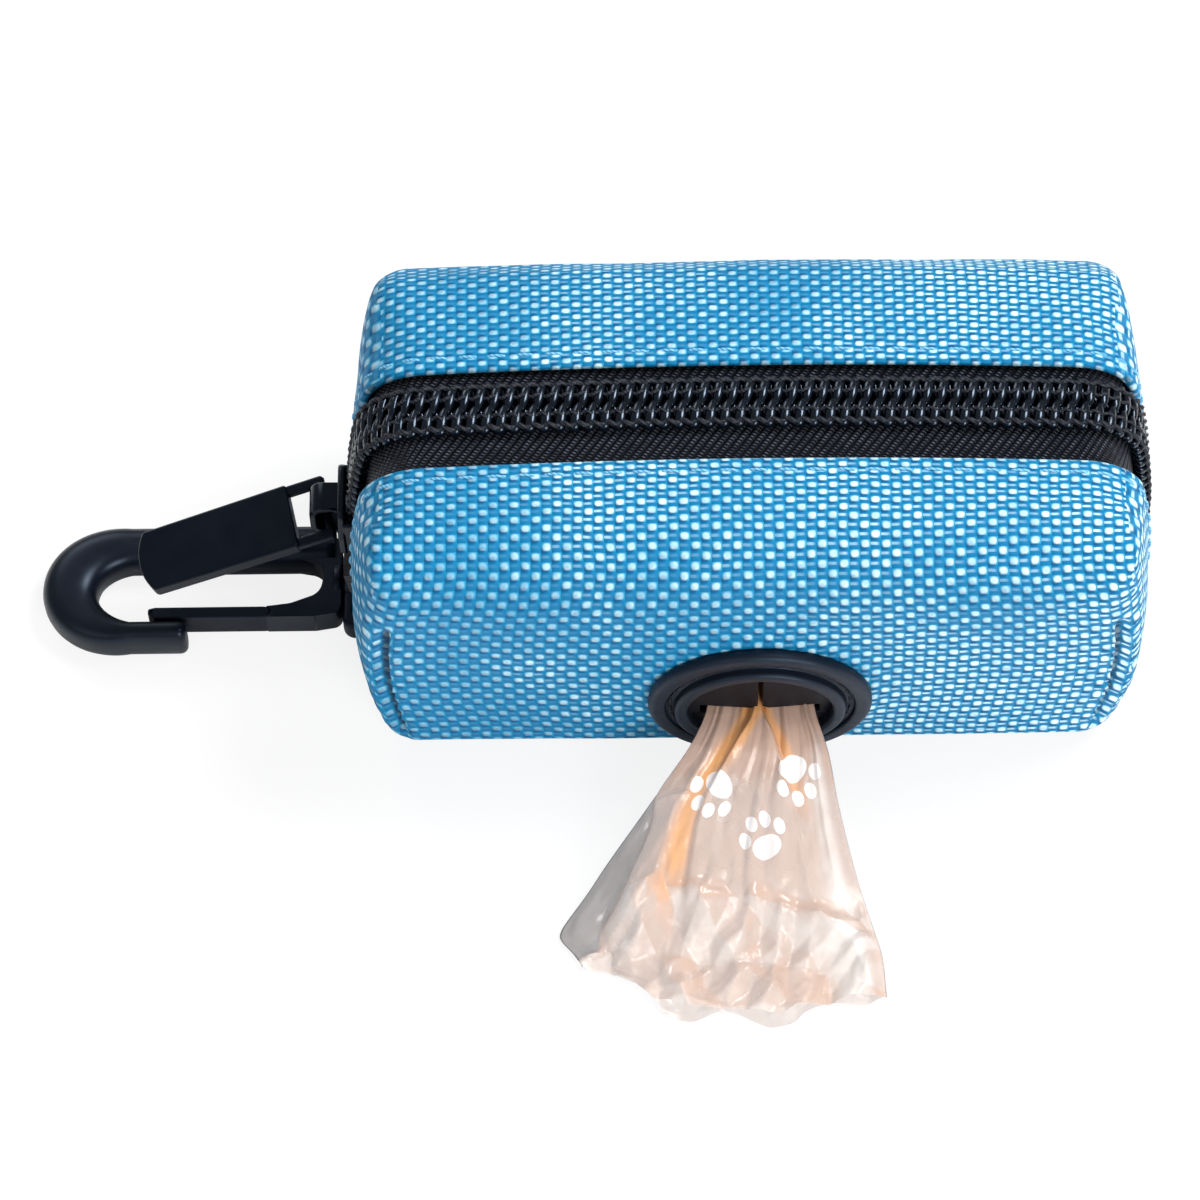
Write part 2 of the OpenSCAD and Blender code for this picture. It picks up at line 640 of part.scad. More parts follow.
module pull_tab() {
    end_round = 0.9;      // radius of the far end, in widths of that end
    module outline_2d(w0, w1, l) {
        straight = l - w1 * end_round;
        intersection() {
            polygon([[0, -w0 / 2], [l, -w1 / 2], [l, w1 / 2], [0, w0 / 2]]);
            union() {
                translate([straight, 0]) circle(w1 * end_round);
                translate([0, -w0]) square([straight, 2 * w0]);
            }
        }
    }
    arm_w = (tab_w - window_w) / 2;
    color("#121215") translate(pin_at) rotate([0, 0, 180 + tab_yaw]) rotate([0, tab_droop, 0]) {
        rotate([90, 0, 0]) translate([0, 0, -tab_w / 2]) cylinder(d = tab_pin_d, h = tab_w);
        for (s = [-1, 1]) translate([0, s * (tab_w / 2 - arm_w / 2), 0]) {
            translate([0, -arm_w / 2, -tab_frame_t / 2]) cube([window_l + 0.5, arm_w, tab_frame_t]);
            rotate([90, 0, 0]) translate([0, 0, -arm_w / 2]) cylinder(d = tab_frame_t, h = arm_w);
        }
        translate([window_l, 0, -tab_t / 2]) linear_extrude(tab_t)
            outline_2d(tab_w, tab_end_w, tab_l - window_l);
    }
}

// ---- swivel eye, hook and gate --------------------------------------------------------------------------

module swivel_eye() {
    inner_w = web_w + 2 * web_side_gap;
    arm_y = (inner_w + eye_arm_w) / 2;
    outer_w = inner_w + 2 * eye_arm_w;
    arm_l = -eye_pin_x - collar_x;
    collar_at = collar_x - collar_t;
    color("#101013") translate([0, hook_y, eye_pin_z]) difference() {
        union() {
            translate([collar_at, -outer_w / 2, -eye_arm_h / 2]) cube([collar_t, outer_w, eye_arm_h]);
            translate([collar_at, 0, 0]) rotate([0, 90, 0]) cylinder(d = eye_t, h = collar_t);
            for (s = [-1, 1]) translate([0, s * arm_y, 0]) {
                translate([collar_x - eps, -eye_arm_w / 2, -eye_arm_h / 2])
                    cube([arm_l + eps, eye_arm_w, eye_arm_h]);
                translate([-eye_pin_x, 0, 0]) rotate([90, 0, 0])
                    cylinder(d = eye_arm_h, h = eye_arm_w, center = true);
            }
            translate([-eye_pin_x, 0, 0]) rotate([90, 0, 0])
                cylinder(d = eye_pin_d, h = outer_w - eps, center = true);
        }
        translate([collar_at - 1, 0, 0]) rotate([0, 90, 0])
            cylinder(d = stem_d + 2 * stem_gap, h = collar_t + 2);
    }
}

// Middle line of the bow, from the root along the spine and round the nose to the point, as
// [x, y, width, the direction that the line runs in]
ARM_N = 5;
BOW_N = 14;
POINT_N = 3;
root_shift = 1.2;         // how far the spine starts inside the root
function nose_swell(a) = (nose_w - (spine_w + point_w) / 2) * sin(a);
function bow_stations() = concat(
    [for (i = [0 : ARM_N - 1]) let (f = i / ARM_N)
        [(root_x + root_shift) * (1 - f) + bow_x * f, spine_y, spine_w, 180]],
    [for (i = [0 : BOW_N]) let (a = 180 * i / BOW_N)
        [bow_x - bow_reach * sin(a), (spine_y + point_y) / 2 + bow_w / 2 * cos(a),
         spine_w + (point_w - spine_w) * a / 180 + nose_swell(a),
         180 + direction([bow_reach * cos(a), bow_w / 2 * sin(a)])]],
    [for (i = [1 : POINT_N]) [bow_x + point_l * i / POINT_N, point_y, point_w, 360]]);

// A rounded section of the bow, w wide and h high
SIDES = 14;
squareness = 0.75;        // 1 is an ellipse, and less is squarer
function round_off(v) = sign(v) * pow(abs(v), squareness);
function section(w, h) = [for (k = [0 : SIDES - 1]) let (a = 360 * (k + 0.5) / SIDES)
    [w / 2 * round_off(cos(a)), h / 2 * round_off(sin(a))]];

// Triangles of a tube of n rings, each of m points, with both ends closed
function tube_faces(n, m) = concat(
    [for (j = [0 : n - 2], k = [0 : m - 1]) let (k1 = (k + 1) % m) each
        [[j * m + k, (j + 1) * m + k1, j * m + k1], [j * m + k, (j + 1) * m + k, (j + 1) * m + k1]]],
    [[for (k = [0 : m - 1]) k]],
    [[for (k = [m - 1 : -1 : 0]) (n - 1) * m + k]]);

module bow() {
    st = bow_stations();
    highest = section(1, 1)[floor(SIDES / 4)][1];
    pts = [for (t = st, p = section(t[2], hook_t / 2 / highest))
           [t[0] - p[0] * sin(t[3]), t[1] + p[0] * cos(t[3]), hook_t / 2 + p[1]]];
    polyhedron(pts, tube_faces(len(st), SIDES));
}

// The flat shank that joins the spine, the gate's root and the stem
module shank() {
    spine_out = spine_y + spine_w / 2 - 0.4;
    spine_in = spine_y - spine_w / 2;
    gate_in = gate_y + gate_t / 2;
    gate_out = gate_y - gate_t / 2;
    polygon([[base_x, hook_y + shank_w / 2], [root_x, spine_out], [root_x - shank_l, spine_out],
             [root_x - shank_l, spine_in + 0.6], [root_x, spine_in - 0.2],
             [root_x - 0.3 * shank_l, gate_in + 2.5], [root_x - 0.9 * shank_l, gate_in + 0.9],
             [gate_pin_x + 1.6, gate_in], [gate_pin_x, gate_in], [gate_pin_x, gate_out],
             [root_x - 1, gate_out], [base_x, hook_y - shank_w / 2]]);
}

module hook_body() {
    base_d = hook_t - 0.2;
    color("#131316") difference() {
        union() {
            bow();
            translate([0, 0, (hook_t - gate_h) / 2]) linear_extrude(gate_h) shank();
            translate([0, hook_y, eye_pin_z]) rotate([0, 90, 0]) {
                translate([0, 0, base_x - base_l / 2]) cylinder(d = base_d, h = base_l / 2);
                translate([0, 0, base_x - eps]) cylinder(d = stem_d, h = head_x - head_t - base_x + 2 * eps);
                translate([0, 0, head_x - head_t]) cylinder(d = head_d, h = head_t);
            }
        }
        // Seat of the gate's root
        translate([gate_pin_x, gate_y, -1]) cylinder(d = gate_t + 2 * gate_gap, h = hook_t + 2);
    }
}

module hook_gate() {
    lead = 0.8;           // the tip is cut back, so that a ring pushes the gate in
    h = gate_t / 2;
    color("#17171a") translate([0, 0, (hook_t - gate_h) / 2]) linear_extrude(gate_h) {
        translate([0, gate_y])
            polygon([[gate_pin_x, -h], [gate_pin_x, h], [gate_tip_x + lead, h],
                     [gate_tip_x, h - 0.2], [gate_tip_x, 0.5 - h], [gate_tip_x + lead, -h]]);
        translate([gate_pin_x, gate_y]) circle(h);
    }
}

// ---- roll of bags ----------------------------------------------------------------------------------------

module tube_x(r0, r1, l) {
    translate([-l / 2, 0, roll_z]) rotate([0, 90, 0]) difference() {
        cylinder(r = r1, h = l, $fn = 96);
        translate([0, 0, -1]) cylinder(r = r0, h = l + 2, $fn = 96);
    }
}

module roll_core() {
    color("#b59b78") tube_x(core_d / 2 - core_t, core_d / 2, roll_l);
}

module bag_roll() {
    color("#e9b999") tube_x(core_d / 2 + seam_gap, roll_d / 2, roll_l);
}

// The bag that hangs out, which drifts towards the hook as it fans out on the table. Its stations
// are [distance in front of the roll's middle, height, width, thickness]
bag_drift = 3.6;
function bag_x(w) = grommet_x - bag_drift * pow((w - neck_w) / (bag_w - neck_w), 2);
// A flattened octagon
function bag_section(x, y, z, w, h) =
    [for (p = [[-1, -0.3], [-1, 0.3], [-0.8, 1], [0.8, 1], [1, 0.3], [1, -0.3], [0.8, -1], [-0.8, -1]])
        [x + p[0] * w / 2, y, z + p[1] * h / 2]];

module leading_bag() {
    out = face_y + flange_t + lip_h;
    stations = [[roll_front + bag_gap, slit_z, neck_w, neck_t],
                [out + 0.2, slit_z, neck_w, neck_t],
                [out + 0.07 * bag_reach, slit_z - 1.6, neck_w + 3, neck_t + 0.8],
                [out + 0.25 * bag_reach, 0.52 * slit_z, 0.6 * bag_w, 0.6 * bag_puff],
                [out + 0.5 * bag_reach, 0.6 * bag_puff + 0.3, 0.82 * bag_w, 0.9 * bag_puff],
                [out + 0.75 * bag_reach, 0.5 * bag_puff + 0.1, 0.97 * bag_w, bag_puff],
                [out + bag_reach, 0.25 * bag_puff + 0.1, bag_w, 0.5 * bag_puff]];
    pts = [for (t = stations) each bag_section(bag_x(t[2]), -t[0], t[1], t[2], t[3])];
    color("#f2c8ab") polyhedron(pts, tube_faces(len(stations), 8));
}

front_panel();
rear_panel();
zipper_tape_front();
zipper_tape_rear();
zipper_coil_front();
zipper_coil_rear();
topstitch_front();
topstitch_rear();
end_binding_left();
end_binding_right();
grommet();
grommet_stitching();
webbing_loop();
zip_slider();
pull_tab();
swivel_eye();
hook_body();
hook_gate();
roll_core();
bag_roll();
leading_bag();
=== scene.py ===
"""Looks of a zipped dog waste bag dispenser: a woven pouch with a coil zip over its top and ends, a slit
rubber grommet with a translucent bag hanging out of it, and a plastic swivel snap hook.

Sizes in the formulas are millimetres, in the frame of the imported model, and become metres in the meshes.
X runs along the pouch, the grommet faces -Y, and the base lies on Z = 0."""
import math

import bmesh
import bpy
import numpy as np
from mathutils import Matrix, Vector, noise


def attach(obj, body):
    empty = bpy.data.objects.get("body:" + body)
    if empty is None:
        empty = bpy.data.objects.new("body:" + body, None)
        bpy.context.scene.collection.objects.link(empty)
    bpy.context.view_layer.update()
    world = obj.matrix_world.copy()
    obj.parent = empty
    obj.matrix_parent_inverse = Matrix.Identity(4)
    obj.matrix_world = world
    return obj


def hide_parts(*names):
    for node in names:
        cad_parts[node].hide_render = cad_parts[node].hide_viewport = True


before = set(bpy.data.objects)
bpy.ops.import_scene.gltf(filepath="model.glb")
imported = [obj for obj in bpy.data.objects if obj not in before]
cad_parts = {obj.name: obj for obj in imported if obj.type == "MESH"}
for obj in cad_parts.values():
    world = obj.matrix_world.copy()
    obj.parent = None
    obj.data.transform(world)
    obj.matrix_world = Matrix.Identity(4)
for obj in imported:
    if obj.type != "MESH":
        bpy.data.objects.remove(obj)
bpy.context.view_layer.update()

MM = 0.001

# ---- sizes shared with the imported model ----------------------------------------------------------

HALF_L = 43.9            # half the pouch's length over its bulged ends
HALF_W = 20.35           # half its depth between the edges of its faces
HEIGHT = 44.4
CLOTH_T = 1.2
END_R = 90.0             # radius of each end's bulge
END_Z = 20.0             # height of the middle of the bulge
TOP_R = 450.0
CORNER_R = 8.0           # where the top turns down into an end, in the middle
BASE_R = 13.5            # where an end turns under, in the middle
SIDE_R = 3.5             # both of those at the front and rear
EDGE_R = 3.2             # edges round the front and rear faces
FRONT_R = 10.8           # the much softer top edge of the front
FACE_CROWN = 0.8
END_CROWN = 1.7
TOP_CROWN = 1.6
SEAM_Z = 13.5
GAP_FRONT = 6.7
GAP_REAR = 4.7
TAPE_T = 0.6
TAPE_TUCK = 2.6
CHAIN_W = 5.8
COIL_H = 1.7
COIL_PITCH = 1.6
SLIDER_Z = 20.5
SLIDER_L = 9.0
SLIDER_W = 8.4
PLATE_T = 0.9
SLIDE_GAP = 0.25
GROMMET_X, GROMMET_Z = 1.0, 15.0
HOLE_R = 9.9
FACE_Y = HALF_W + FACE_CROWN
CROWN_FROM = GAP_FRONT + TAPE_TUCK + 1.0
BASE_SEAM_Y = GAP_REAR + 1.4
TAPE_TOP = CLOTH_T + 0.08

# ---- meshes --------------------------------------------------------------------------------------


def new_object(name, verts, faces, material, body, slot, replaces=()):
    """A mesh object from points in millimetres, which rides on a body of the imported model."""
    mesh = bpy.data.meshes.new(name)
    mesh.from_pydata([tuple(v) for v in np.asarray(verts, float) * MM], [], [tuple(f) for f in faces])
    mesh.validate()
    mesh.polygons.foreach_set("use_smooth", [True] * len(mesh.polygons))
    mesh.materials.append(material)
    obj = bpy.data.objects.new(name, mesh)
    bpy.context.scene.collection.objects.link(obj)
    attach(obj, body)
    if replaces:
        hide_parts(*replaces)
    return obj


def grid_faces(rows, cols, wrap=False, start=0):
    """Quads of a grid of points, row after row. wrap joins the last column to the first."""
    faces = []
    for j in range(rows - 1):
        for i in range(cols if wrap else cols - 1):
            a = start + j * cols
            k = (i + 1) % cols
            faces.append((a + i, a + k, a + cols + k, a + cols + i))
    return faces


def caps(rows, cols):
    """The two end faces of a tube of points, row after row."""
    return [tuple(range(cols)), tuple((rows - 1) * cols + k for k in reversed(range(cols)))]


def face_outwards(obj, prepare=None):
    """Turns the faces outwards, after what prepare does to the mesh."""
    bm = bmesh.new()
    bm.from_mesh(obj.data)
    if prepare:
        prepare(bm)
    bmesh.ops.recalc_face_normals(bm, faces=bm.faces)
    bm.to_mesh(obj.data)
    bm.free()


def clean(obj, fill=True):
    """Merges double points, drops loose ones, closes gaps if fill says so, and turns the faces outwards."""
    def mend(bm):
        bmesh.ops.remove_doubles(bm, verts=bm.verts, dist=1e-6)
        loose = [v for v in bm.verts if not v.link_faces]
        bmesh.ops.delete(bm, geom=loose, context="VERTS")
        if fill:
            bmesh.ops.holes_fill(bm, edges=[e for e in bm.edges if e.is_boundary], sides=0)

    face_outwards(obj, mend)
    for polygon in obj.data.polygons:
        polygon.use_smooth = True


def tube(points, radius, sides):
    """Points and faces of a round tube along the points."""
    pts = np.asarray(points, float)
    n = len(pts)
    tangent = np.gradient(pts, axis=0)
    tangent /= np.linalg.norm(tangent, axis=1)[:, None]
    side = np.cross(tangent[0], (0.0, 0.0, 1.0) if abs(tangent[0][2]) < 0.9 else (1.0, 0.0, 0.0))
    verts = []
    angles = np.arange(sides) * 2 * math.pi / sides
    for k in range(n):
        side = side - tangent[k] * side.dot(tangent[k])
        side /= np.linalg.norm(side)
        up = np.cross(tangent[k], side)
        verts.append(pts[k] + radius * (np.outer(np.cos(angles), side) + np.outer(np.sin(angles), up)))
    return np.concatenate(verts), grid_faces(n, sides, wrap=True) + caps(n, sides)


def joined(parts):
    """Several (points, faces) as one."""
    verts, faces, start = [], [], 0
    for v, f in parts:
        verts.append(np.asarray(v, float))
        faces += [tuple(start + i for i in face) for face in f]
        start += len(v)
    return np.concatenate(verts), faces


def smoothstep(a, b, x):
    t = np.clip((np.asarray(x, float) - a) / (b - a), 0.0, 1.0)
    return t * t * (3 - 2 * t)


def noise_at(points, scale, seed):
    """Smooth noise, about -1 to 1, at points in millimetres. scale is the size of its blobs."""
    shift = Vector((seed * 17.3, seed * 5.1, seed * 9.7))
    return np.array([noise.noise(Vector(p) / scale + shift) for p in points])


# ---- the pouch's outline, seen from the front ----------------------------------------------------
# One side of it is a chain of arcs: top, top corner, end, base corner, and a flat base.

TOP_N, CORNER_N, END_N, LOW_N, TURN_N, BASE_N = 26, 8, 24, 8, 9, 18
HALF_N = TOP_N + CORNER_N + END_N + LOW_N + TURN_N + BASE_N
RING_N = 2 * HALF_N
SEAM_I = TOP_N + CORNER_N + END_N
LEAST_R = 0.4


def fall(y):
    return 0.0 if abs(y) <= CROWN_FROM else ((abs(y) - CROWN_FROM) / (HALF_W - CROWN_FROM)) ** 2


def arc(center, radius, a, b, n):
    """n points on an arc from angle a to just before angle b."""
    t = a + (b - a) * np.arange(n) / n
    return np.stack([center[0] + radius * np.cos(t), center[1] + radius * np.sin(t)], 1)


def corner_center(half_l, height, inset, rc):
    """Centre of the top corner, inside both the end's circle and the top's."""
    c1, c2 = np.array([half_l - END_R, END_Z]), np.array([0.0, height - TOP_R])
    r1, r2 = END_R - inset - rc, TOP_R - inset - rc
    v = c2 - c1
    d = np.linalg.norm(v)
    a = (r1 * r1 - r2 * r2 + d * d) / (2 * d)
    b = math.sqrt(r1 * r1 - a * a)
    return c1 + v / d * a + np.array([-v[1], v[0]]) / d * b


def direction(v):
    return math.atan2(v[1], v[0])


def half_outline(y, inset):
    """The outline's right half at distance y from the middle, from the top to near the base's middle."""
    half_l, height = HALF_L - END_CROWN * fall(y), HEIGHT - TOP_CROWN * fall(y)
    turn_from, turn_to = CROWN_FROM, HALF_W - EDGE_R
    share = min(1.0, max(0.0, (abs(y) - turn_from) / (turn_to - turn_from)))
    rc = max(CORNER_R + (SIDE_R - CORNER_R) * share - inset, LEAST_R)
    rd = max(BASE_R + (SIDE_R - BASE_R) * share - inset, LEAST_R)
    ct, ce = np.array([0.0, height - TOP_R]), np.array([half_l - END_R, END_Z])
    cc = corner_center(half_l, height, inset, rc)
    z = inset + rd
    cb = np.array([ce[0] + math.sqrt((END_R - z) ** 2 - (END_Z - z) ** 2), z])
    at, ae, ab = direction(cc - ct), direction(cc - ce), direction(cb - ce)
    seam = max(math.asin((SEAM_Z - END_Z) / (END_R - inset)), ab + math.radians(0.4))
    base = np.stack([cb[0] * (1 - np.arange(BASE_N) / BASE_N), np.full(BASE_N, inset)], 1)
    return np.concatenate([
        arc(ct, TOP_R - inset, math.pi / 2, at, TOP_N), arc(cc, rc, at, ae, CORNER_N),
        arc(ce, END_R - inset, ae, seam, END_N), arc(ce, END_R - inset, seam, ab, LOW_N),
        arc(cb, rd, ab, -math.pi / 2, TURN_N), base])


def outline(y, inset):
    right = half_outline(y, inset)
    left = right[:0:-1] * (-1, 1)
    return np.concatenate([right, [[0.0, inset]], left])


# ---- the zip's path ------------------------------------------------------------------------------
# The same arcs, followed by distance from the middle of the right end's bulge.

PATH_CORNER = corner_center(HALF_L, HEIGHT, 0.0, CORNER_R)
PATH_END = np.array([HALF_L - END_R, END_Z])
PATH_TOP = np.array([0.0, HEIGHT - TOP_R])
ANGLE_TOP = direction(PATH_CORNER - PATH_TOP)
ANGLE_END = direction(PATH_CORNER - PATH_END)
END_RUN = END_R * ANGLE_END
CORNER_RUN = CORNER_R * (ANGLE_TOP - ANGLE_END)
HALF_RUN = END_RUN + CORNER_RUN + TOP_R * (math.pi / 2 - ANGLE_TOP)


def run_of(z):
    return END_R * math.asin((z - END_Z) / END_R)


def path_at(s, inset):
    """Point (x, z) at distance s on the zip's path, inset from the cloth's face, and its outward angle."""
    if s > HALF_RUN:
        x, z, angle = path_at(2 * HALF_RUN - s, inset)
        return -x, z, math.pi - angle
    if s < END_RUN:
        center, radius, angle = PATH_END, END_R - inset, s / END_R
    elif s < END_RUN + CORNER_RUN:
        center, radius, angle = PATH_CORNER, CORNER_R - inset, ANGLE_END + (s - END_RUN) / CORNER_R
    else:
        center, radius, angle = PATH_TOP, TOP_R - inset, ANGLE_TOP + (s - END_RUN - CORNER_RUN) / TOP_R
    return center[0] + radius * math.cos(angle), center[1] + radius * math.sin(angle), angle


def on_path(s, y, inset):
    x, z, _ = path_at(s, inset)
    return (x, y, z)


# ---- materials -----------------------------------------------------------------------------------


class Material:
    """A node material under construction: nodes, maths and links in short calls. Its keyword values go to
    the shader's own sockets."""

    def __init__(self, name, **values):
        self.material = bpy.data.materials.new(name)
        self.material.use_nodes = True
        self.tree = self.material.node_tree
        self.shader = self.tree.nodes["Principled BSDF"]
        for socket, value in values.items():
            self.shader.inputs[socket.replace("_", " ")].default_value = value

    def node(self, kind, inputs=(), **settings):
        made = self.tree.nodes.new("ShaderNode" + kind)
        for key, value in settings.items():
            setattr(made, key, value)
        for key, value in dict(inputs).items():
            self.set(made.inputs[key], value)
        return made

    def set(self, socket, value):
        if isinstance(value, bpy.types.NodeSocket):
            self.tree.links.new(value, socket)
        else:
            socket.default_value = value

    def math(self, operation, *values):
        made = self.tree.nodes.new("ShaderNodeMath")
        made.operation = operation
        for socket, value in zip(made.inputs, values):
            self.set(socket, value)
        return made.outputs[0]

    def plus(self, a, b):
        return self.math("ADD", a, b)

    def minus(self, a, b):
        return self.math("SUBTRACT", a, b)

    def times(self, a, b):
        return self.math("MULTIPLY", a, b)

    def ribs(self, along, pitch):
        """From 0 up to 1 and back over each pitch."""
        return self.math("ABSOLUTE", self.math("SINE", self.times(along, math.pi / pitch)))

    def range(self, value, a, b, to_a=0.0, to_b=1.0, smooth=True):
        kind = "SMOOTHSTEP" if smooth else "LINEAR"
        sockets = {"Value": value, "From Min": a, "From Max": b, "To Min": to_a, "To Max": to_b}
        return self.node("MapRange", sockets, interpolation_type=kind).outputs[0]

    def mix(self, factor, a, b):
        made = self.node("Mix", data_type="RGBA")
        self.set(made.inputs[0], factor)
        for socket, value in ((made.inputs[6], a), (made.inputs[7], b)):
            self.set(socket, value if isinstance(value, bpy.types.NodeSocket) else (*value, 1.0))
        return made.outputs[2]

    def noise(self, scale, detail):
        """Noise over the object, whose scale is in blobs a millimetre."""
        vector = self.node("TexCoord").outputs["Object"]
        return self.node("TexNoise", {"Vector": vector, "Scale": scale / MM, "Detail": detail}).outputs[0]

    def uv(self, name="pattern"):
        """The two coordinates of a UV layer that is in millimetres."""
        split = self.node("SeparateXYZ", {"Vector": self.node("UVMap", uv_map=name).outputs[0]})
        return split.outputs[0], split.outputs[1]

    def colour(self, value):
        self.set(self.shader.inputs["Base Color"], value)

    def rough(self, value):
        self.set(self.shader.inputs["Roughness"], value)

    def bump(self, height, depth, strength):
        """Bump whose height of 1 stands that many millimetres tall."""
        made = self.node("Bump", {"Height": height, "Distance": depth * MM, "Strength": strength})
        self.set(self.shader.inputs["Normal"], made.outputs[0])


def cloth_material():
    """Plain weave of shiny bundles with painted light: white painted highlights on those along the pouch,
    painted shadows under them, and painted shade deep blue in the gaps.
    """
    m = Material("woven_cloth", Roughness=0.5, Specular_IOR_Level=0.15)
    u, v = m.uv("weave")
    seam, _ = m.uv("seam")
    place = m.node("SeparateXYZ", {"Vector": m.node("TexCoord").outputs["Object"]})
    u = m.plus(u, m.range(m.noise(0.22, 2.0), 0.0, 1.0, -0.22, 0.22, smooth=False))
    v = m.plus(v, m.range(m.noise(0.17, 2.0), 0.0, 1.0, -0.30, 0.30, smooth=False))
    column, row = m.math("FLOOR", u), m.math("FLOOR", v)
    across_u = m.minus(m.minus(u, column), 0.5)
    across_v = m.minus(m.minus(v, row), 0.5)
    crimp = 0.38

    def wave(along, other):
        turned = m.plus(m.minus(along, 0.5), other)
        return m.times(m.math("COSINE", m.times(turned, math.pi)), crimp)

    def squared(value, middle, half):
        ratio = m.math("DIVIDE", m.minus(value, middle), half)
        return m.times(ratio, ratio)

    def round_top(across, half):
        inside = m.minus(1.0, squared(across, 0.0, half))
        return m.times(m.math("SQRT", m.math("MAXIMUM", inside, 0.0)), 0.62)

    def checks(shift_u, shift_v):
        """1 in the middle of each top bundle that runs along the pouch, -1 in that of the others."""
        waves = (m.math("SINE", m.times(m.plus(along, shift), math.pi))
                 for along, shift in ((u, shift_u), (v, shift_v)))
        return m.times(*waves)

    weft = m.plus(wave(u, row), round_top(across_v, 0.5))
    warp = m.minus(round_top(across_u, 0.52), wave(v, column))
    height = m.math("MAXIMUM", weft, warp)
    weft_on_top = m.range(m.minus(weft, warp), -0.03, 0.08)
    # painted highlights: patches where the white glints are strong, stronger towards +x and higher up, as
    # the light falls from the right and above
    highlight_patch = m.plus(m.noise(0.04, 3.0), m.range(place.outputs[0], -0.04, 0.04, -0.13, 0.11, smooth=False))
    highlight_patch = m.plus(highlight_patch, m.range(place.outputs[2], 0.004, 0.036, -0.06, 0.03))
    highlight_strength = m.range(highlight_patch, 0.28, 0.66, 0.30, 1.0)
    # painted highlights: white dots on the bundles along the pouch, and tails beside them
    dot = m.times(m.range(checks(0.0, 0.0), 0.10, 0.74), highlight_strength)
    highlight_tail = m.times(m.range(squared(across_v, 0.02, 0.17), 1.2, 0.3), m.range(across_u, 0.45, 0.0))
    highlight_tail = m.times(m.times(highlight_tail, m.minus(1.0, weft_on_top)),
                  m.range(highlight_patch, 0.42, 0.64, 0.05, 0.75))
    painted_highlight = m.times(m.math("MAXIMUM", dot, highlight_tail), m.range(m.noise(0.8, 2.0), 0.25, 0.75, 0.55, 1.15))
    # painted sheen: the bundles along the pouch a little lighter than the others
    body = m.mix(weft_on_top, (0.002, 0.160, 0.345), (0.008, 0.24, 0.44))
    # painted shadow: a dark crescent under and left of each highlight dot
    dot_shadow = m.range(checks(0.16, 0.34), 0.10, 0.75)
    colour = m.mix(painted_highlight, m.mix(m.times(dot_shadow, 0.9), body, (0.0, 0.085, 0.22)), (0.66, 0.90, 0.97))
    # painted shade: darker where the bundles dip into the gaps between them
    colour = m.mix(m.range(height, -0.15, 0.22), (0.0, 0.07, 0.19), colour)
    # painted shade: dark along the seams' grooves
    m.colour(m.mix(m.range(seam, 0.30, 0.75), colour, (0.001, 0.018, 0.05)))
    m.rough(m.minus(0.62, m.times(painted_highlight, 0.25)))
    m.bump(height, 0.30, 0.9)
    return m.material


def tape_material():
    """Zip tape: diagonal twill ribs, each a row of small shiny knots, with painted highlights on the knots'
    tops.
    """
    m = Material("zip_tape", Roughness=0.45, Specular_IOR_Level=0.22)
    s, y = m.uv()
    rib_pitch, slant, knot_pitch = 1.0, 0.75, 0.85
    along = m.plus(s, m.times(y, slant))
    rib = m.ribs(along, rib_pitch)
    across = m.minus(m.times(y, 2.0), s)
    knot = m.ribs(across, knot_pitch)
    height = m.times(m.math("POWER", rib, 0.7), m.plus(0.35, m.times(knot, 0.65)))
    # painted highlights on the tops of the knots
    knot_highlight = m.times(m.range(height, 0.70, 0.98), m.range(m.noise(0.9, 3.0), 0.35, 0.65, 0.25, 1.0))
    m.colour(m.mix(knot_highlight, (0.0012, 0.0022, 0.006), (0.075, 0.085, 0.115)))
    m.bump(height, 0.2, 1.0)
    return m.material


COOL = (0.62, 0.78, 1.0, 1.0)       # the blue cast of the black pieces' reflections


def plastic(name, colour, roughness, grain=0.015, specular=0.25, scale=1.2):
    """Moulded or painted black: a slight colour drift and a fine grain."""
    m = Material(name, Roughness=roughness, Specular_IOR_Level=specular, Specular_Tint=COOL)
    dark, light = (tuple(c * share for c in colour) for share in (0.8, 1.2))
    m.colour(m.mix(m.noise(0.12, 3.0), dark, light))
    m.rough(m.range(m.noise(0.35, 3.0), 0.3, 0.7, roughness - 0.03, roughness + 0.04))
    m.bump(m.noise(scale, 3.0), grain, 0.6)
    return m.material


def thread_material(name, dark, light, pitch=0.5):
    """Twisted sewing thread."""
    m = Material(name, Roughness=0.5, Specular_IOR_Level=0.25)
    coords = m.node("TexCoord").outputs["Object"]
    wave = m.node("TexWave", {"Vector": coords, "Scale": 0.5 / pitch / MM, "Distortion": 0.8},
                  bands_direction="DIAGONAL").outputs[1]
    m.colour(m.mix(wave, dark, light))
    m.bump(wave, 0.05, 0.6)
    return m.material


def webbing_material():
    """Flat woven strap with ribs across it."""
    m = Material("webbing", Roughness=0.6)
    coords = m.node("SeparateXYZ", {"Vector": m.node("TexCoord").outputs["Object"]})
    rib = m.ribs(coords.outputs[2], 0.9 * MM)
    yarn = m.ribs(coords.outputs[1], 0.6 * MM)
    height = m.times(rib, m.plus(0.5, m.times(yarn, 0.5)))
    m.colour(m.mix(height, (0.006, 0.006, 0.007), (0.03, 0.03, 0.034)))
    m.bump(height, 0.12, 0.8)
    return m.material


LOWER_SHIFT = 100.0                 # keeps the prints of the bag's lower layer apart from the upper one's
PAWS = ((3.7, 11.5, -28.0), (-4.9, 13.0, 42.0), (0.4, 18.6, 160.0), (LOWER_SHIFT - 2.0, 13.0, 80.0))
PAW_SIZE = 1.3


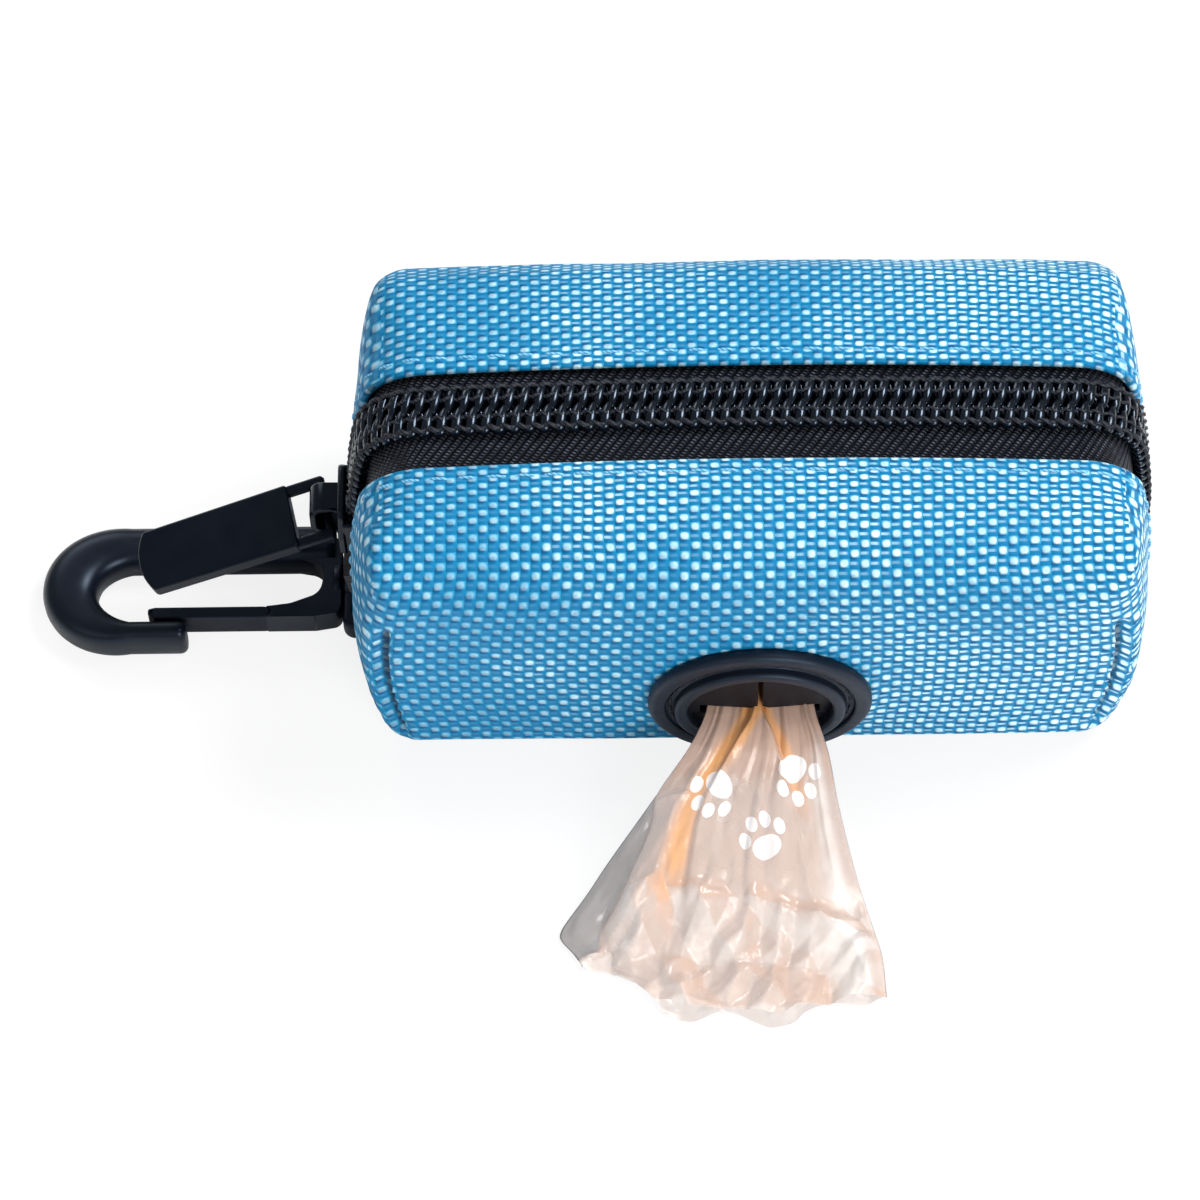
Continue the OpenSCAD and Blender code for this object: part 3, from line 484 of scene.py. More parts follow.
def paw_ink(m, u, v):
    """White prints, 1 inside and 0 outside: each is a round pad with four toes over it."""
    ink = None
    toes = ((-1.55, 0.75), (-0.6, 1.75), (0.6, 1.75), (1.55, 0.75))
    for px, py, angle in PAWS:
        c, s = math.cos(math.radians(angle)), math.sin(math.radians(angle))
        for x, y, rx, ry in ((0.0, -0.35, 1.25, 0.95), *((tx, ty, 0.48, 0.66) for tx, ty in toes)):
            x, y, rx, ry = (PAW_SIZE * value for value in (x, y, rx, ry))
            du = m.minus(u, px + x * c - y * s)
            dv = m.minus(v, py + x * s + y * c)
            a = m.plus(m.times(du, c / rx), m.times(dv, s / rx))
            b = m.minus(m.times(dv, c / ry), m.times(du, s / ry))
            away = m.plus(m.times(a, a), m.times(b, b))
            spot = m.range(away, 1.08, 0.92)
            ink = spot if ink is None else m.math("MAXIMUM", ink, spot)
    return ink


# FILM_SHADE_GREY is painted shade and FILM_HIGHLIGHT a painted highlight.
FILM_SHADE_GREY, FILM_PINK = (0.27, 0.255, 0.25), (0.54, 0.37, 0.29)
FILM_ORANGE, FILM_HIGHLIGHT = (0.72, 0.34, 0.12), (0.80, 0.75, 0.71)


def film_material(name):
    """Thin peach film of a roll."""
    m = Material(name, Roughness=0.24)
    m.colour(m.mix(m.noise(0.09, 3.0), FILM_PINK, FILM_ORANGE))
    m.bump(m.noise(0.9, 5.0), 0.10, 0.7)
    return m.material


def bag_material():
    """See-through film. Its second UV layer says how it looks where it is folded or crumpled: first from
    painted shade grey through pink to orange, then how much painted white highlight it has."""
    m = Material("bag_film", Roughness=0.22, Specular_IOR_Level=0.6)
    u, v = m.uv()
    warm, white = m.uv("zones")
    fine = m.noise(0.5, 4.0)
    white = m.plus(white, m.times(m.minus(fine, 0.5), 0.35))
    # painted shade: the grey of the left flank, turned from the light
    flank_shade, orange = m.range(warm, 0.42, 0.05), m.range(warm, 0.55, 1.0)
    colour = m.mix(flank_shade, m.mix(orange, FILM_PINK, FILM_ORANGE), FILM_SHADE_GREY)
    # painted highlights: white where the film's facets face the light
    colour = m.mix(m.range(white, 0.05, 1.0), colour, FILM_HIGHLIGHT)
    ink = paw_ink(m, u, v)
    m.colour(m.mix(m.times(ink, 0.88), colour, (0.80, 0.79, 0.79)))
    alpha = m.plus(0.44, m.times(m.math("MAXIMUM", flank_shade, orange), 0.34))
    alpha = m.plus(alpha, m.range(v, 13.0, 9.5, 0.0, 0.32))
    alpha = m.plus(alpha, m.times(m.math("MAXIMUM", ink, m.times(white, 0.6)), 0.4))
    m.set(m.shader.inputs["Alpha"], m.math("MINIMUM", alpha, 0.97))
    m.bump(m.noise(0.8, 5.0), 0.12, 0.8)
    return m.material


def card_material():
    m = Material("cardboard", Roughness=0.85)
    m.colour(m.mix(m.noise(0.5, 4.0), (0.36, 0.25, 0.15), (0.55, 0.41, 0.26)))
    m.bump(m.noise(2.0, 3.0), 0.04, 0.6)
    return m.material


# ---- cloth panels --------------------------------------------------------------------------------

FOLD_N, EDGE_N, FACE_N, MIDDLE_N = 6, 9, 22, 8     # rows of a fold, an edge, a face and a closed middle
SHOULDER = 0.55                                    # swell of a face at its top edge


def face_shape(x, z, y):
    """How far out the front or rear face lies at (x, z), where its edge lies at y."""
    along = 1 - np.clip(np.abs(x) / (HALF_L - 3), 0, 1) ** 2.4
    up = 1 - np.clip(np.abs(z - END_Z - 0.6) / (HEIGHT / 2 - 1.2), 0, 1) ** 2.4
    return y + FACE_CROWN * along * up


def ring(side, row, inset, hole, radius):
    """One ring of the panel. row is (distance from the middle, turn round the edge, share of the way in)."""
    y, turn, share = row
    pts = outline(y + EDGE_R * math.sin(turn), EDGE_R - (EDGE_R - inset) * math.cos(turn))
    if share > 0:
        away = pts - hole
        angle = np.arctan2(away[:, 1], away[:, 0])
        rim = np.asarray(hole) + radius * np.stack([np.cos(angle), np.sin(angle)], 1)
        pts = pts * (1 - share) + rim * share
    out = np.full(len(pts), y + (EDGE_R - inset) * math.sin(turn))
    swell = face_shape(pts[:, 0], pts[:, 1], 0.0) * math.sin(turn) ** 2
    return np.stack([pts[:, 0], side * (out + swell), pts[:, 1]], 1)


def panel(name, side, start, upper, lower, hole, radius, closed, material):
    """A cloth panel with both its faces: main rows from distance start to the middle of its big face, and
    wrapped edges. Those are rows of (distance, inset), upper ones along the zip and lower ones below it."""
    rows = [(y, 0.0, 0.0) for y in np.linspace(start, HALF_W - EDGE_R, 9)]
    rows += [(HALF_W - EDGE_R, math.pi / 2 * k / EDGE_N, 0.0) for k in range(1, EDGE_N + 1)]
    rows += [(HALF_W - EDGE_R, math.pi / 2, k / FACE_N) for k in range(1, FACE_N + 1)]
    count = len(rows)
    grids = [[ring(side, row, inset, hole, radius) for row in rows] for inset in (0.0, CLOTH_T)]
    if closed:
        for grid in grids:
            last = grid[-1]
            middle = last.mean(0)
            grid += [last + (middle - last) * k / MIDDLE_N for k in range(1, MIDDLE_N)]
        count += MIDDLE_N - 1
    verts = np.concatenate([np.concatenate(grid) for grid in grids])
    faces = grid_faces(count, RING_N, wrap=True)
    faces += [tuple(reversed(f)) for f in grid_faces(count, RING_N, wrap=True, start=count * RING_N)]
    if closed:
        for layer in range(2):
            base = (layer * count + count - 1) * RING_N
            faces.append(tuple(base + i for i in range(RING_N)))
    else:
        for i in range(RING_N):
            k = (i + 1) % RING_N
            a, b = (count - 1) * RING_N, (2 * count - 1) * RING_N
            faces.append((a + i, a + k, b + k, b + i))
    for steps, below in ((upper, False), (lower, True)):
        base = len(verts)
        wrapped = [ring(side, (y, 0.0, 0.0), inset, hole, radius) for y, inset in steps]
        verts = np.concatenate([verts, *wrapped])
        lines = [0] + [base + k * RING_N for k in range(len(steps))] + [count * RING_N]
        for a, b in zip(lines, lines[1:]):
            faces += [(b + i, b + (i + 1) % RING_N, a + (i + 1) % RING_N, a + i)
                      for i in range(RING_N) if (SEAM_I <= i < RING_N - SEAM_I) == below]
    obj = new_object(name, verts, faces, material, "pouch", "cloth")
    clean(obj)
    shape_cloth(obj, side)
    weave_map(obj, FRONT_R if side < 0 else EDGE_R + 1)
    return obj


def seam_groove(co, side):
    """Depth of the boxed corners' seams in the lower half with their puckers, and where their grooves are
    painted in shade.
    """
    x, y, z = co.T
    reach = HALF_L - END_CROWN - EDGE_R * 0.55
    edge_x = reach - (z - END_Z) ** 2 / (2 * END_R)
    distance = np.abs(x) - edge_x
    on_face = smoothstep(HALF_W - EDGE_R, HALF_W - EDGE_R * 0.5, side * y)
    tall = smoothstep(31.0, 28.0, z) * smoothstep(1.0, 5.0, z)
    groove = np.exp(-(distance / 0.42) ** 2)
    shoulder = np.exp(-((distance - 1.5) / 1.1) ** 2)
    pucker = np.exp(-(distance / 2.4) ** 2) * np.cos(2 * math.pi * z / 2.3 + 1.3 * np.sign(x))
    return on_face * tall * (1.7 * groove - 0.25 * shoulder + 0.22 * pucker), on_face * tall * groove


def soft_round(co, normal, side):
    """Takes the front's top edge in, onto one large round, and both layers of the cloth with it."""
    if side > 0:
        return co
    top = HEIGHT - co[:, 0] ** 2 / (2 * TOP_R)
    across = side * co[:, 1] - (HALF_W + SHOULDER - FRONT_R)
    up = co[:, 2] - (top - FRONT_R)
    outer = normal[:, 1] * side + normal[:, 2] > 0
    limit = np.where(outer, FRONT_R, FRONT_R - CLOTH_T)
    away = np.hypot(across, up)
    share = np.where((across > 0) & (up > 0) & (away > limit), limit / np.maximum(away, 1e-6), 1.0)
    share = 1 + (share - 1) * (1 - 0.35 * smoothstep(35.0, 42.0, np.abs(co[:, 0])))
    out = co.copy()
    out[:, 1] += side * across * (share - 1)
    out[:, 2] += up * (share - 1)
    return out


def shape_cloth(obj, side):
    """Seams, soft unevenness, softer top edges, and the flat seat that the grommet pulls into the cloth."""
    mesh = obj.data
    n = len(mesh.vertices)
    co, normal = np.zeros(n * 3), np.zeros(n * 3)
    mesh.vertices.foreach_get("co", co)
    mesh.vertices.foreach_get("normal", normal)
    normal = normal.reshape(-1, 3)
    co = soft_round(co.reshape(-1, 3) / MM, normal, side)
    seam, line = seam_groove(co, side)
    corners = np.zeros(len(mesh.loops), int)
    mesh.loops.foreach_get("vertex_index", corners)
    # the seam layer marks where the grooves get painted shade
    mesh.uv_layers.new(name="seam").data.foreach_set("uv", np.stack([line[corners]] * 2, 1).ravel())
    uneven = 0.22 * noise_at(co, 16.0, 1) + 0.10 * noise_at(co, 6.0, 2) - 0.22
    outward = np.where(normal @ (0, side, 0) + normal @ (0, 0, 1) + np.abs(normal[:, 0]) > 0, 1.0, -1.0)
    free = smoothstep(0.0, 4.0, co[:, 2]) * smoothstep(TAPE_TUCK, TAPE_TUCK + 4, side * co[:, 1] - GAP_REAR)
    co = co + normal * (uneven * outward * free)[:, None]
    inward = np.stack([-np.sign(co[:, 0]) * 0.6, np.full(n, -side * 0.8), np.zeros(n)], 1)
    co = co + inward * seam[:, None]
    if side > 0:
        from_edge = np.hypot(co[:, 1] - HALF_W, co[:, 2] - HEIGHT + TOP_CROWN)
        give = 0.7 * (1.1 * np.exp(-(from_edge / 3.0) ** 2))
        co[:, 1:] -= give[:, None]
    else:
        from_hole = np.hypot(co[:, 0] - GROMMET_X, co[:, 2] - GROMMET_Z)
        pull = smoothstep(14.5, 12.0, from_hole) * smoothstep(-14.0, -17.0, co[:, 1])
        target = -FACE_Y + np.where(normal[:, 1] > 0.3, CLOTH_T, 0.0)
        co[:, 1] += (target - co[:, 1]) * pull * (np.abs(target - co[:, 1]) < 3.0)
    co[:, 2] = np.maximum(co[:, 2], 0.0)
    mesh.vertices.foreach_set("co", (co * MM).ravel())
    mesh.update()


WEAVE_X = 43.3 / 37      # pitch of the bundles along the pouch
WEAVE_TOP = 0.78         # pitch of their rows on the top, where they lie close
WEAVE_FACE = 1.5         # and on the faces and ends


def rows_over(y, z, radius):
    """Rows of the weave from the lower end of the top edge's round, counted up the face and over the top."""
    across, up = abs(y) - (HALF_W + SHOULDER - radius), z - (HEIGHT - 0.6 - radius)
    quarter, change = radius * math.pi / 2, WEAVE_TOP - WEAVE_FACE
    run = radius * math.atan2(up, max(across, 1e-6)) if up > 0 else up
    if up > 0 and across <= 0:
        run = quarter - across
    if run <= 0:
        return run / WEAVE_FACE
    turned = min(run, quarter)
    count = quarter / change * math.log(1 + change * turned / quarter / WEAVE_FACE)
    return count + (run - turned) / WEAVE_TOP


def weave_map(obj, radius):
    """Coordinates of the weave, in bundles, laid out so that it runs on over the edges of the pouch."""
    mesh = obj.data
    layer = mesh.uv_layers.new(name="weave")
    over_edge = 2 * EDGE_R * (1 - math.sin(math.pi / 4))
    flat_half, low_z, high_z = HALF_L - 0.6, 6.0, 40.0
    for polygon in mesh.polygons:
        nx, ny, nz = polygon.normal
        for loop in polygon.loop_indices:
            x, y, z = (c / MM for c in mesh.vertices[mesh.loops[loop].vertex_index].co)
            past = FACE_Y - abs(y) - over_edge
            if abs(nx) > max(abs(ny), abs(nz)):
                u, v = math.copysign(flat_half + past, x), rows_over(FACE_Y, min(z, HEIGHT - radius), radius)
                v += max(z - HEIGHT + radius, 0.0) / WEAVE_FACE
            else:
                reach = HALF_L - END_R + math.sqrt(END_R ** 2 - (min(max(z, low_z), high_z) - END_Z) ** 2)
                u, v = flat_half * x / reach, rows_over(y, z, radius)
                if z < EDGE_R and abs(nz) > abs(ny):
                    v -= past / WEAVE_FACE
            layer.data[loop].uv = (u / WEAVE_X, v)


def cloth_panels(material):
    fold = CLOTH_T / 2

    def folded(gap, start):
        lead = [(y, 0.0) for y in np.linspace(start, gap + fold, 3)[1:]] if start > gap + fold + 0.2 else []
        turn = [(gap + fold - fold * math.sin(t), fold - fold * math.cos(t))
                for t in np.linspace(0, math.pi, FOLD_N + 1)[1:-1]]
        return lead + turn + [(y, CLOTH_T) for y, _ in reversed(lead)]

    front_start = GAP_FRONT + fold
    strip = [(y, 0.0) for y in np.linspace(front_start, -BASE_SEAM_Y, 9)[1:]]
    under = strip + [(y, CLOTH_T) for y, _ in reversed(strip)]
    front = panel("front_cloth", -1, front_start, folded(GAP_FRONT, front_start), under,
                  (GROMMET_X, GROMMET_Z), HOLE_R, False, material)
    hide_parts("front_panel")
    rear_start = BASE_SEAM_Y + 0.08
    rear_ring_r = 9.0                  # innermost ring of the rear face, before its closed middle
    rear = panel("rear_cloth", 1, rear_start, folded(GAP_REAR, rear_start), [],
                 (0.0, HEIGHT / 2), rear_ring_r, True, material)
    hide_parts("rear_panel")


# ---- zip -----------------------------------------------------------------------------------------


def pattern_map(obj, coords):
    """A UV layer in millimetres from one (u, v) for each point of the mesh."""
    layer = obj.data.uv_layers.new(name="pattern")
    for loop in obj.data.loops:
        layer.data[loop.index].uv = coords[loop.vertex_index]


def zip_tape(name, node, y0, y1, material):
    """A strip of tape along the zip's path, a little slack between the coils and the cloth."""
    s0 = run_of(SEAM_Z - 1.2)
    runs = np.linspace(s0, 2 * HALF_RUN - s0, 150)
    ys = np.linspace(y0, y1, 9)
    verts, coords = [], []
    for depth in (TAPE_TOP, TAPE_TOP + TAPE_T):
        for s in runs:
            for k, y in enumerate(ys):
                slack = 0.18 * math.sin(math.pi * k / (len(ys) - 1))
                verts.append(on_path(s, y, depth + slack))
                coords.append((s, y))
    rows, cols = len(runs), len(ys)
    faces = grid_faces(rows, cols) + [tuple(reversed(f)) for f in grid_faces(rows, cols, start=rows * cols)]
    below = rows * cols
    for j in range(rows - 1):
        for i in (0, cols - 1):
            a, b = j * cols + i, (j + 1) * cols + i
            faces.append((a, b, b + below, a + below))
    for j in (0, rows - 1):
        for i in range(cols - 1):
            a, b = j * cols + i, j * cols + i + 1
            faces.append((a, b, b + below, a + below))
    obj = new_object(name, verts, faces, material, "pouch", "zip_tape", (node,))
    face_outwards(obj)
    pattern_map(obj, coords)


COIL_START = run_of(SEAM_Z + 0.5)
SLIDER_AT = math.asin((SLIDER_Z - END_Z) / END_R)
SLIDER_HALF = SLIDER_L / 2 / END_R
COIL_LOW = SLIDER_AT - SLIDER_HALF + math.radians(2.3)
COIL_END = 2 * HALF_RUN - END_R * COIL_LOW


def coil(name, node, side, material, thread):
    """Half of the chain: one long flattened helix of nylon, and the stitches that hold it on the tape."""
    turns = int((COIL_END - COIL_START) / COIL_PITCH) - 1
    steps, sides = 20, 8
    wide, thick = 0.62, 0.40                       # half the wire's width along the zip, and half its height
    reach_in, reach_out = 0.34, CHAIN_W / 2 - 0.25
    half_width = (reach_in + reach_out) / 2
    middle = side * (reach_out - reach_in) / 2
    low, high = TAPE_TOP - thick * 0.6, TAPE_TOP - COIL_H + thick
    shift = 0.5 * COIL_PITCH if side > 0 else 0.0
    points, along, widths = [], [], []
    for k in range(turns * steps):
        t = 2 * math.pi * k / steps
        across = math.copysign(abs(math.cos(t)) ** 0.9, math.cos(t))
        rise = math.copysign(abs(math.sin(t)) ** 0.85, math.sin(t))
        s = COIL_START + shift + COIL_PITCH * k / steps + 0.06 * COIL_PITCH * math.sin(t)
        x, z, angle = path_at(s, (low + high) / 2 - (low - high) / 2 * rise)
        points.append((x, middle + half_width * across, z))
        along.append((-math.sin(angle), 0.0, math.cos(angle)))
        widths.append(wide - 0.26 * float(smoothstep(0.1, 0.9, -side * across)))
    points, along = np.array(points), np.array(along)
    tangent = np.gradient(points, axis=0)
    tangent /= np.linalg.norm(tangent, axis=1)[:, None]
    along -= tangent * (along * tangent).sum(1)[:, None]
    along /= np.linalg.norm(along, axis=1)[:, None]
    up = np.cross(tangent, along)
    turn = np.arange(sides) * 2 * math.pi / sides
    verts = (points[:, None] + np.outer(widths, np.cos(turn))[:, :, None] * along[:, None]
             + thick * np.sin(turn)[None, :, None] * up[:, None])
    faces = grid_faces(len(points), sides, wrap=True)
    faces += caps(len(points), sides)
    obj = new_object(name, verts.reshape(-1, 3), faces, material, "pouch", "zip_coil", (node,))
    clean(obj, fill=False)
    parts = []
    for y, phase, thread_r in ((1.15, 0.0, 0.20), (2.45, 0.5, 0.30)):
        line = []
        for k in range(turns * 6):
            t = 2 * math.pi * (k / 6 + phase)
            s = COIL_START + shift + COIL_PITCH * k / 6
            depth = high - thick - 0.18 + thread_r + 0.34 * (0.5 + 0.5 * math.cos(t))
            line.append(on_path(s, side * (y + 0.16 * math.sin(t)), depth))
        parts.append(tube(line, thread_r, sides=5))
    new_object(name + "_stitches", *joined(parts), thread, "pouch", "thread_black")


def topstitch(name, node, y, material):
    """A row of thread stitches along the zip, each dipping into the cloth at its ends."""
    start = run_of(SEAM_Z + 3)
    stitch, pitch = 2.5, 3.1
    count = int((2 * HALF_RUN - 2 * start) / pitch)
    parts = []
    for k in range(count + 1):
        middle = start + k * pitch
        line = []
        for t in np.linspace(-1, 1, 7):
            s = middle + t * stitch / 2
            line.append(on_path(s, y + 0.05 * t, -0.06 + 0.5 * abs(t) ** 3))
        parts.append(tube(line, 0.17, sides=6))
    new_object(name, *joined(parts), material, "pouch", "thread_blue", (node,))


def zip_parts():
    tape = tape_material()
    nylon = plastic("coil_nylon", (0.0015, 0.0025, 0.005), 0.17, grain=0.004, specular=0.45)
    thread = thread_material("black_thread", (0.0012, 0.002, 0.005), (0.016, 0.020, 0.030))
    zip_tape("tape_front", "zipper_tape_front", -GAP_FRONT - TAPE_TUCK, -0.75, tape)
    zip_tape("tape_rear", "zipper_tape_rear", 0.75, GAP_REAR + TAPE_TUCK, tape)
    coil("coil_front", "zipper_coil_front", -1, nylon, thread)
    coil("coil_rear", "zipper_coil_rear", 1, nylon, thread)
    blue = thread_material("blue_thread", (0.05, 0.28, 0.50), (0.22, 0.50, 0.70))
    topstitch("stitches_front", "topstitch_front", -GAP_FRONT - 1.6, blue)
    topstitch("stitches_rear", "topstitch_rear", GAP_REAR + 1.6, blue)


# ---- hard pieces ---------------------------------------------------------------------------------


def slab(outline, low, high, bevel):
    """Points and faces of a plate with rounded edges: a polygon of (x, y), from height low to high."""
    bm = bmesh.new()
    base = bm.faces.new([bm.verts.new((x, y, low)) for x, y in outline])
    base.normal_update()
    made = bmesh.ops.extrude_face_region(bm, geom=[base])["geom"]
    lifted = [v for v in made if isinstance(v, bmesh.types.BMVert)]
    bmesh.ops.translate(bm, verts=lifted, vec=(0, 0, high - low))
    bmesh.ops.recalc_face_normals(bm, faces=bm.faces)
    rims = [e for e in bm.edges if abs(e.verts[0].co.z - e.verts[1].co.z) < 1e-6]
    bmesh.ops.bevel(bm, geom=rims, offset=bevel, segments=3, affect="EDGES", profile=0.5,
                    clamp_overlap=True)
    flats = sorted(bm.faces, key=lambda f: -len(f.verts))[:2]
    bmesh.ops.inset_individual(bm, faces=flats, thickness=min(0.1, bevel / 2))
    bmesh.ops.triangulate(bm, faces=[f for f in bm.faces if len(f.verts) > 4])
    bm.verts.index_update()
    verts = np.array([v.co[:] for v in bm.verts])
    faces = [tuple(v.index for v in f.verts) for f in bm.faces]
    bm.free()
    return verts, faces


def rounded(points, radius, steps=6):
    """A polygon with each corner turned into an arc. radius is one number, or one for each corner."""
    pts = np.asarray(points, float)
    n = len(pts)
    radii = np.broadcast_to(np.asarray(radius, float), (n,))
    out = []
    for i in range(n):
        a, p, b = pts[i - 1], pts[i], pts[(i + 1) % n]
        da, db = (a - p) / np.linalg.norm(a - p), (b - p) / np.linalg.norm(b - p)
        half = math.acos(np.clip(da.dot(db), -1, 1)) / 2
        if radii[i] <= 0 or half > math.pi / 2 - 0.02:
            out.append(p)
            continue
        back = min(radii[i] / math.tan(half), 0.49 * np.linalg.norm(a - p), 0.49 * np.linalg.norm(b - p))
        start, end = p + da * back, p + db * back
        pull = 0.25 * (start + end) / 2 + 0.75 * p
        for t in np.linspace(0, 1, steps + 1):
            out.append((1 - t) ** 2 * start + 2 * t * (1 - t) * pull + t * t * end)
    return np.array(out)


def arc_points(cx, cy, radius, a, b, n=7):
    return [(cx + radius * math.cos(t), cy + radius * math.sin(t)) for t in np.linspace(a, b, n)]


def box_outline(x0, x1, y0, y1, radius):
    return rounded([(x0, y0), (x1, y0), (x1, y1), (x0, y1)], radius)


def turned(profile, steps):
    """A closed ring from a closed profile of (radius, height), turned round the height's axis."""
    profile = np.asarray(profile, float)
    angles = np.arange(steps) * 2 * math.pi / steps
    radius, height = profile.T
    rings = [np.stack([radius * math.cos(a), radius * math.sin(a), height], 1) for a in angles]
    m = len(profile)
    faces = [(j * m + i, j * m + (i + 1) % m, (j + 1) % steps * m + (i + 1) % m, (j + 1) % steps * m + i)
             for j in range(steps) for i in range(m)]
    return np.concatenate(rings), faces


def round_bar(radius, length, bevel, sides=28):
    """A cylinder with rounded rims, along its own Z from 0 to length."""
    angles = np.arange(sides) * 2 * math.pi / sides
    return slab(np.stack([radius * np.cos(angles), radius * np.sin(angles)], 1), 0.0, length, bevel)


def placed(shape, axes, origin):
    """A shape moved so that its own x, y and z run along three axes from an origin."""
    verts, faces = shape
    return verts @ np.asarray(axes, float) + np.asarray(origin, float), faces


FLAT_AREA = 0.9 * MM * MM          # larger faces are flats between rounded edges


def hard(name, node, body, slot, material, *shapes):
    """One object of several shapes that stands for a node, with flat large faces and smooth edges."""
    obj = new_object(name, *joined(shapes), material, body, slot, (node,))
    face_outwards(obj)
    for polygon in obj.data.polygons:
        polygon.use_smooth = polygon.area < FLAT_AREA


ALONG_X, ALONG_Y, ALONG_Z = (1, 0, 0), (0, 1, 0), (0, 0, 1)
ALL_AXES = (ALONG_X, ALONG_Y, ALONG_Z)

PLATE_R = END_R - (TAPE_TOP - COIL_H) + SLIDE_GAP
TAPE_R = END_R - TAPE_TOP
LOW_R = TAPE_R - TAPE_T - SLIDE_GAP
TAB_W, TAB_L, TAB_T, TAB_END_W = 7.8, 22.0, 1.9, 7.4
TAB_FRAME_T, WINDOW_W, WINDOW_L, PIN_D = 1.0, 5.4, 3.8, 1.0
TAB_YAW, TAB_DROOP, TAB_SLACK = math.radians(12), math.radians(14), 0.1
CROWN_W, CROWN_L, CROWN_T = 3.6, 5.6, 0.8
PIN_OFF = TAB_W / 2 * math.sin(TAB_YAW) + TAB_FRAME_T / 2 + TAB_SLACK
CROWN_GAP = PIN_OFF + PIN_D / 2 + CROWN_W / 2 * math.sin(TAB_YAW) + TAB_SLACK
END_CENTER = np.array([END_R - HALF_L, 0.0, END_Z])


def on_end(points, radius_0):
    """Points of (distance up the left end, y, height over radius_0), bent onto the end's arc."""
    angle = SLIDER_AT + points[:, 0] / END_R
    radius = radius_0 + points[:, 2]
    return END_CENTER + np.stack([-radius * np.cos(angle), points[:, 1], radius * np.sin(angle)], 1)


def zip_slider(material):
    """Two plates held apart by side walls and a diamond, and the bridge that the pull tab hangs in."""
    half, wide, narrow = SLIDER_L / 2, SLIDER_W / 2, SLIDER_W / 2 - 0.9
    shield = rounded([(-half, -wide + 0.9), (-half + 1.4, -wide), (0.4, -wide), (half, -narrow),
                      (half, narrow), (0.4, wide), (-half + 1.4, wide), (-half, wide - 0.9)], 1.2)
    shapes = []

    def bent(shape, radius_0):
        shapes.append((on_end(shape[0], radius_0), shape[1]))

    bent(slab(shield, 0.0, PLATE_T, 0.3), PLATE_R)
    bent(slab(shield, -PLATE_T, 0.0, 0.3), LOW_R)
    inner = CHAIN_W / 2 + SLIDE_GAP
    for side in (-1, 1):
        wall = box_outline(-half + 1.2, half - 1.6, *sorted((side * inner, side * (wide - 0.25))), 0.3)
        bent(slab(wall, TAPE_R + SLIDE_GAP - PLATE_R, 0.35, 0.1), PLATE_R)
    post = rounded([(-half + 0.15, -0.3), (-half + 1.2, -0.55), (-half + 3, -0.2), (-half + 3, 0.2),
                    (-half + 1.2, 0.55), (-half + 0.15, 0.3)], 0.2)
    bent(slab(post, LOW_R - PLATE_R - 0.3, 0.3, 0.05), PLATE_R)
    high = PLATE_T + CROWN_GAP + CROWN_T
    arch_out = rounded([(-CROWN_L / 2, PLATE_T - 0.3), (CROWN_L / 2, PLATE_T - 0.3),
                        (CROWN_L / 2, high), (-CROWN_L / 2, high)], (0, 0, 1.5, 1.5), 9)
    legs = CROWN_L / 2 - CROWN_T
    arch_in = rounded([(-legs, PLATE_T - 0.3), (legs, PLATE_T - 0.3),
                       (legs, high - CROWN_T), (-legs, high - CROWN_T)], (0, 0, 0.8, 0.8), 9)
    arch = np.concatenate([arch_out[1:], arch_out[:1]])
    arch = np.concatenate([arch, np.concatenate([arch_in[1:], arch_in[:1]])[::-1]])
    verts, faces = slab(arch, -CROWN_W / 2, CROWN_W / 2, 0.28)
    shapes.append((on_end(verts[:, (0, 2, 1)], PLATE_R), faces))
    hard("slider", "zip_slider", "slider", "slider", material, *shapes)


def pull_tab(material):
    """A flat tab with rounded edges, whose window rides on a pin under the slider's bridge."""
    angle = SLIDER_AT
    pin = END_CENTER + (PLATE_R + PLATE_T + PIN_OFF) * np.array([-math.cos(angle), 0, math.sin(angle)])
    yaw = math.pi + TAB_YAW
    across = np.array([-math.sin(yaw), math.cos(yaw), 0.0])
    level = math.cos(TAB_DROOP)
    ahead = np.array([math.cos(yaw) * level, math.sin(yaw) * level, -math.sin(TAB_DROOP)])
    axes = (ahead, across, np.cross(ahead, across))
    swell = np.linspace(-1, 1, 13)
    far = [(TAB_L - 1.1 * abs(t) ** 2.2, t * TAB_END_W / 2) for t in swell]
    corners = [0.3, 0.5, *[0] * (len(far) - 2), 0.5, 0.3]
    plate = rounded([(WINDOW_L, -TAB_W / 2), *far, (WINDOW_L, TAB_W / 2)], corners)
    arm = (TAB_W - WINDOW_W) / 2
    shapes = [slab(plate, -TAB_T / 2, TAB_T / 2, 0.34)]
    for side in (-1, 1):
        edge = sorted((side * TAB_W / 2, side * (TAB_W / 2 - arm)))
        frame_side = box_outline(-0.45, WINDOW_L + 0.4, *edge, 0.4)
        shapes.append(slab(frame_side, -TAB_FRAME_T / 2, TAB_FRAME_T / 2, 0.25))
    bar = round_bar(PIN_D / 2, TAB_W - 0.4, 0.1, 20)
    shapes.append(placed(bar, (ALONG_Z, ALONG_X, ALONG_Y), (0, -TAB_W / 2 + 0.2, 0)))
    shapes = [placed(shape, axes, pin) for shape in shapes]
    hard("pull_tab", "pull_tab", "tab", "pull_tab", material, *shapes)


# ---- hook, gate and eye --------------------------------------------------------------------------

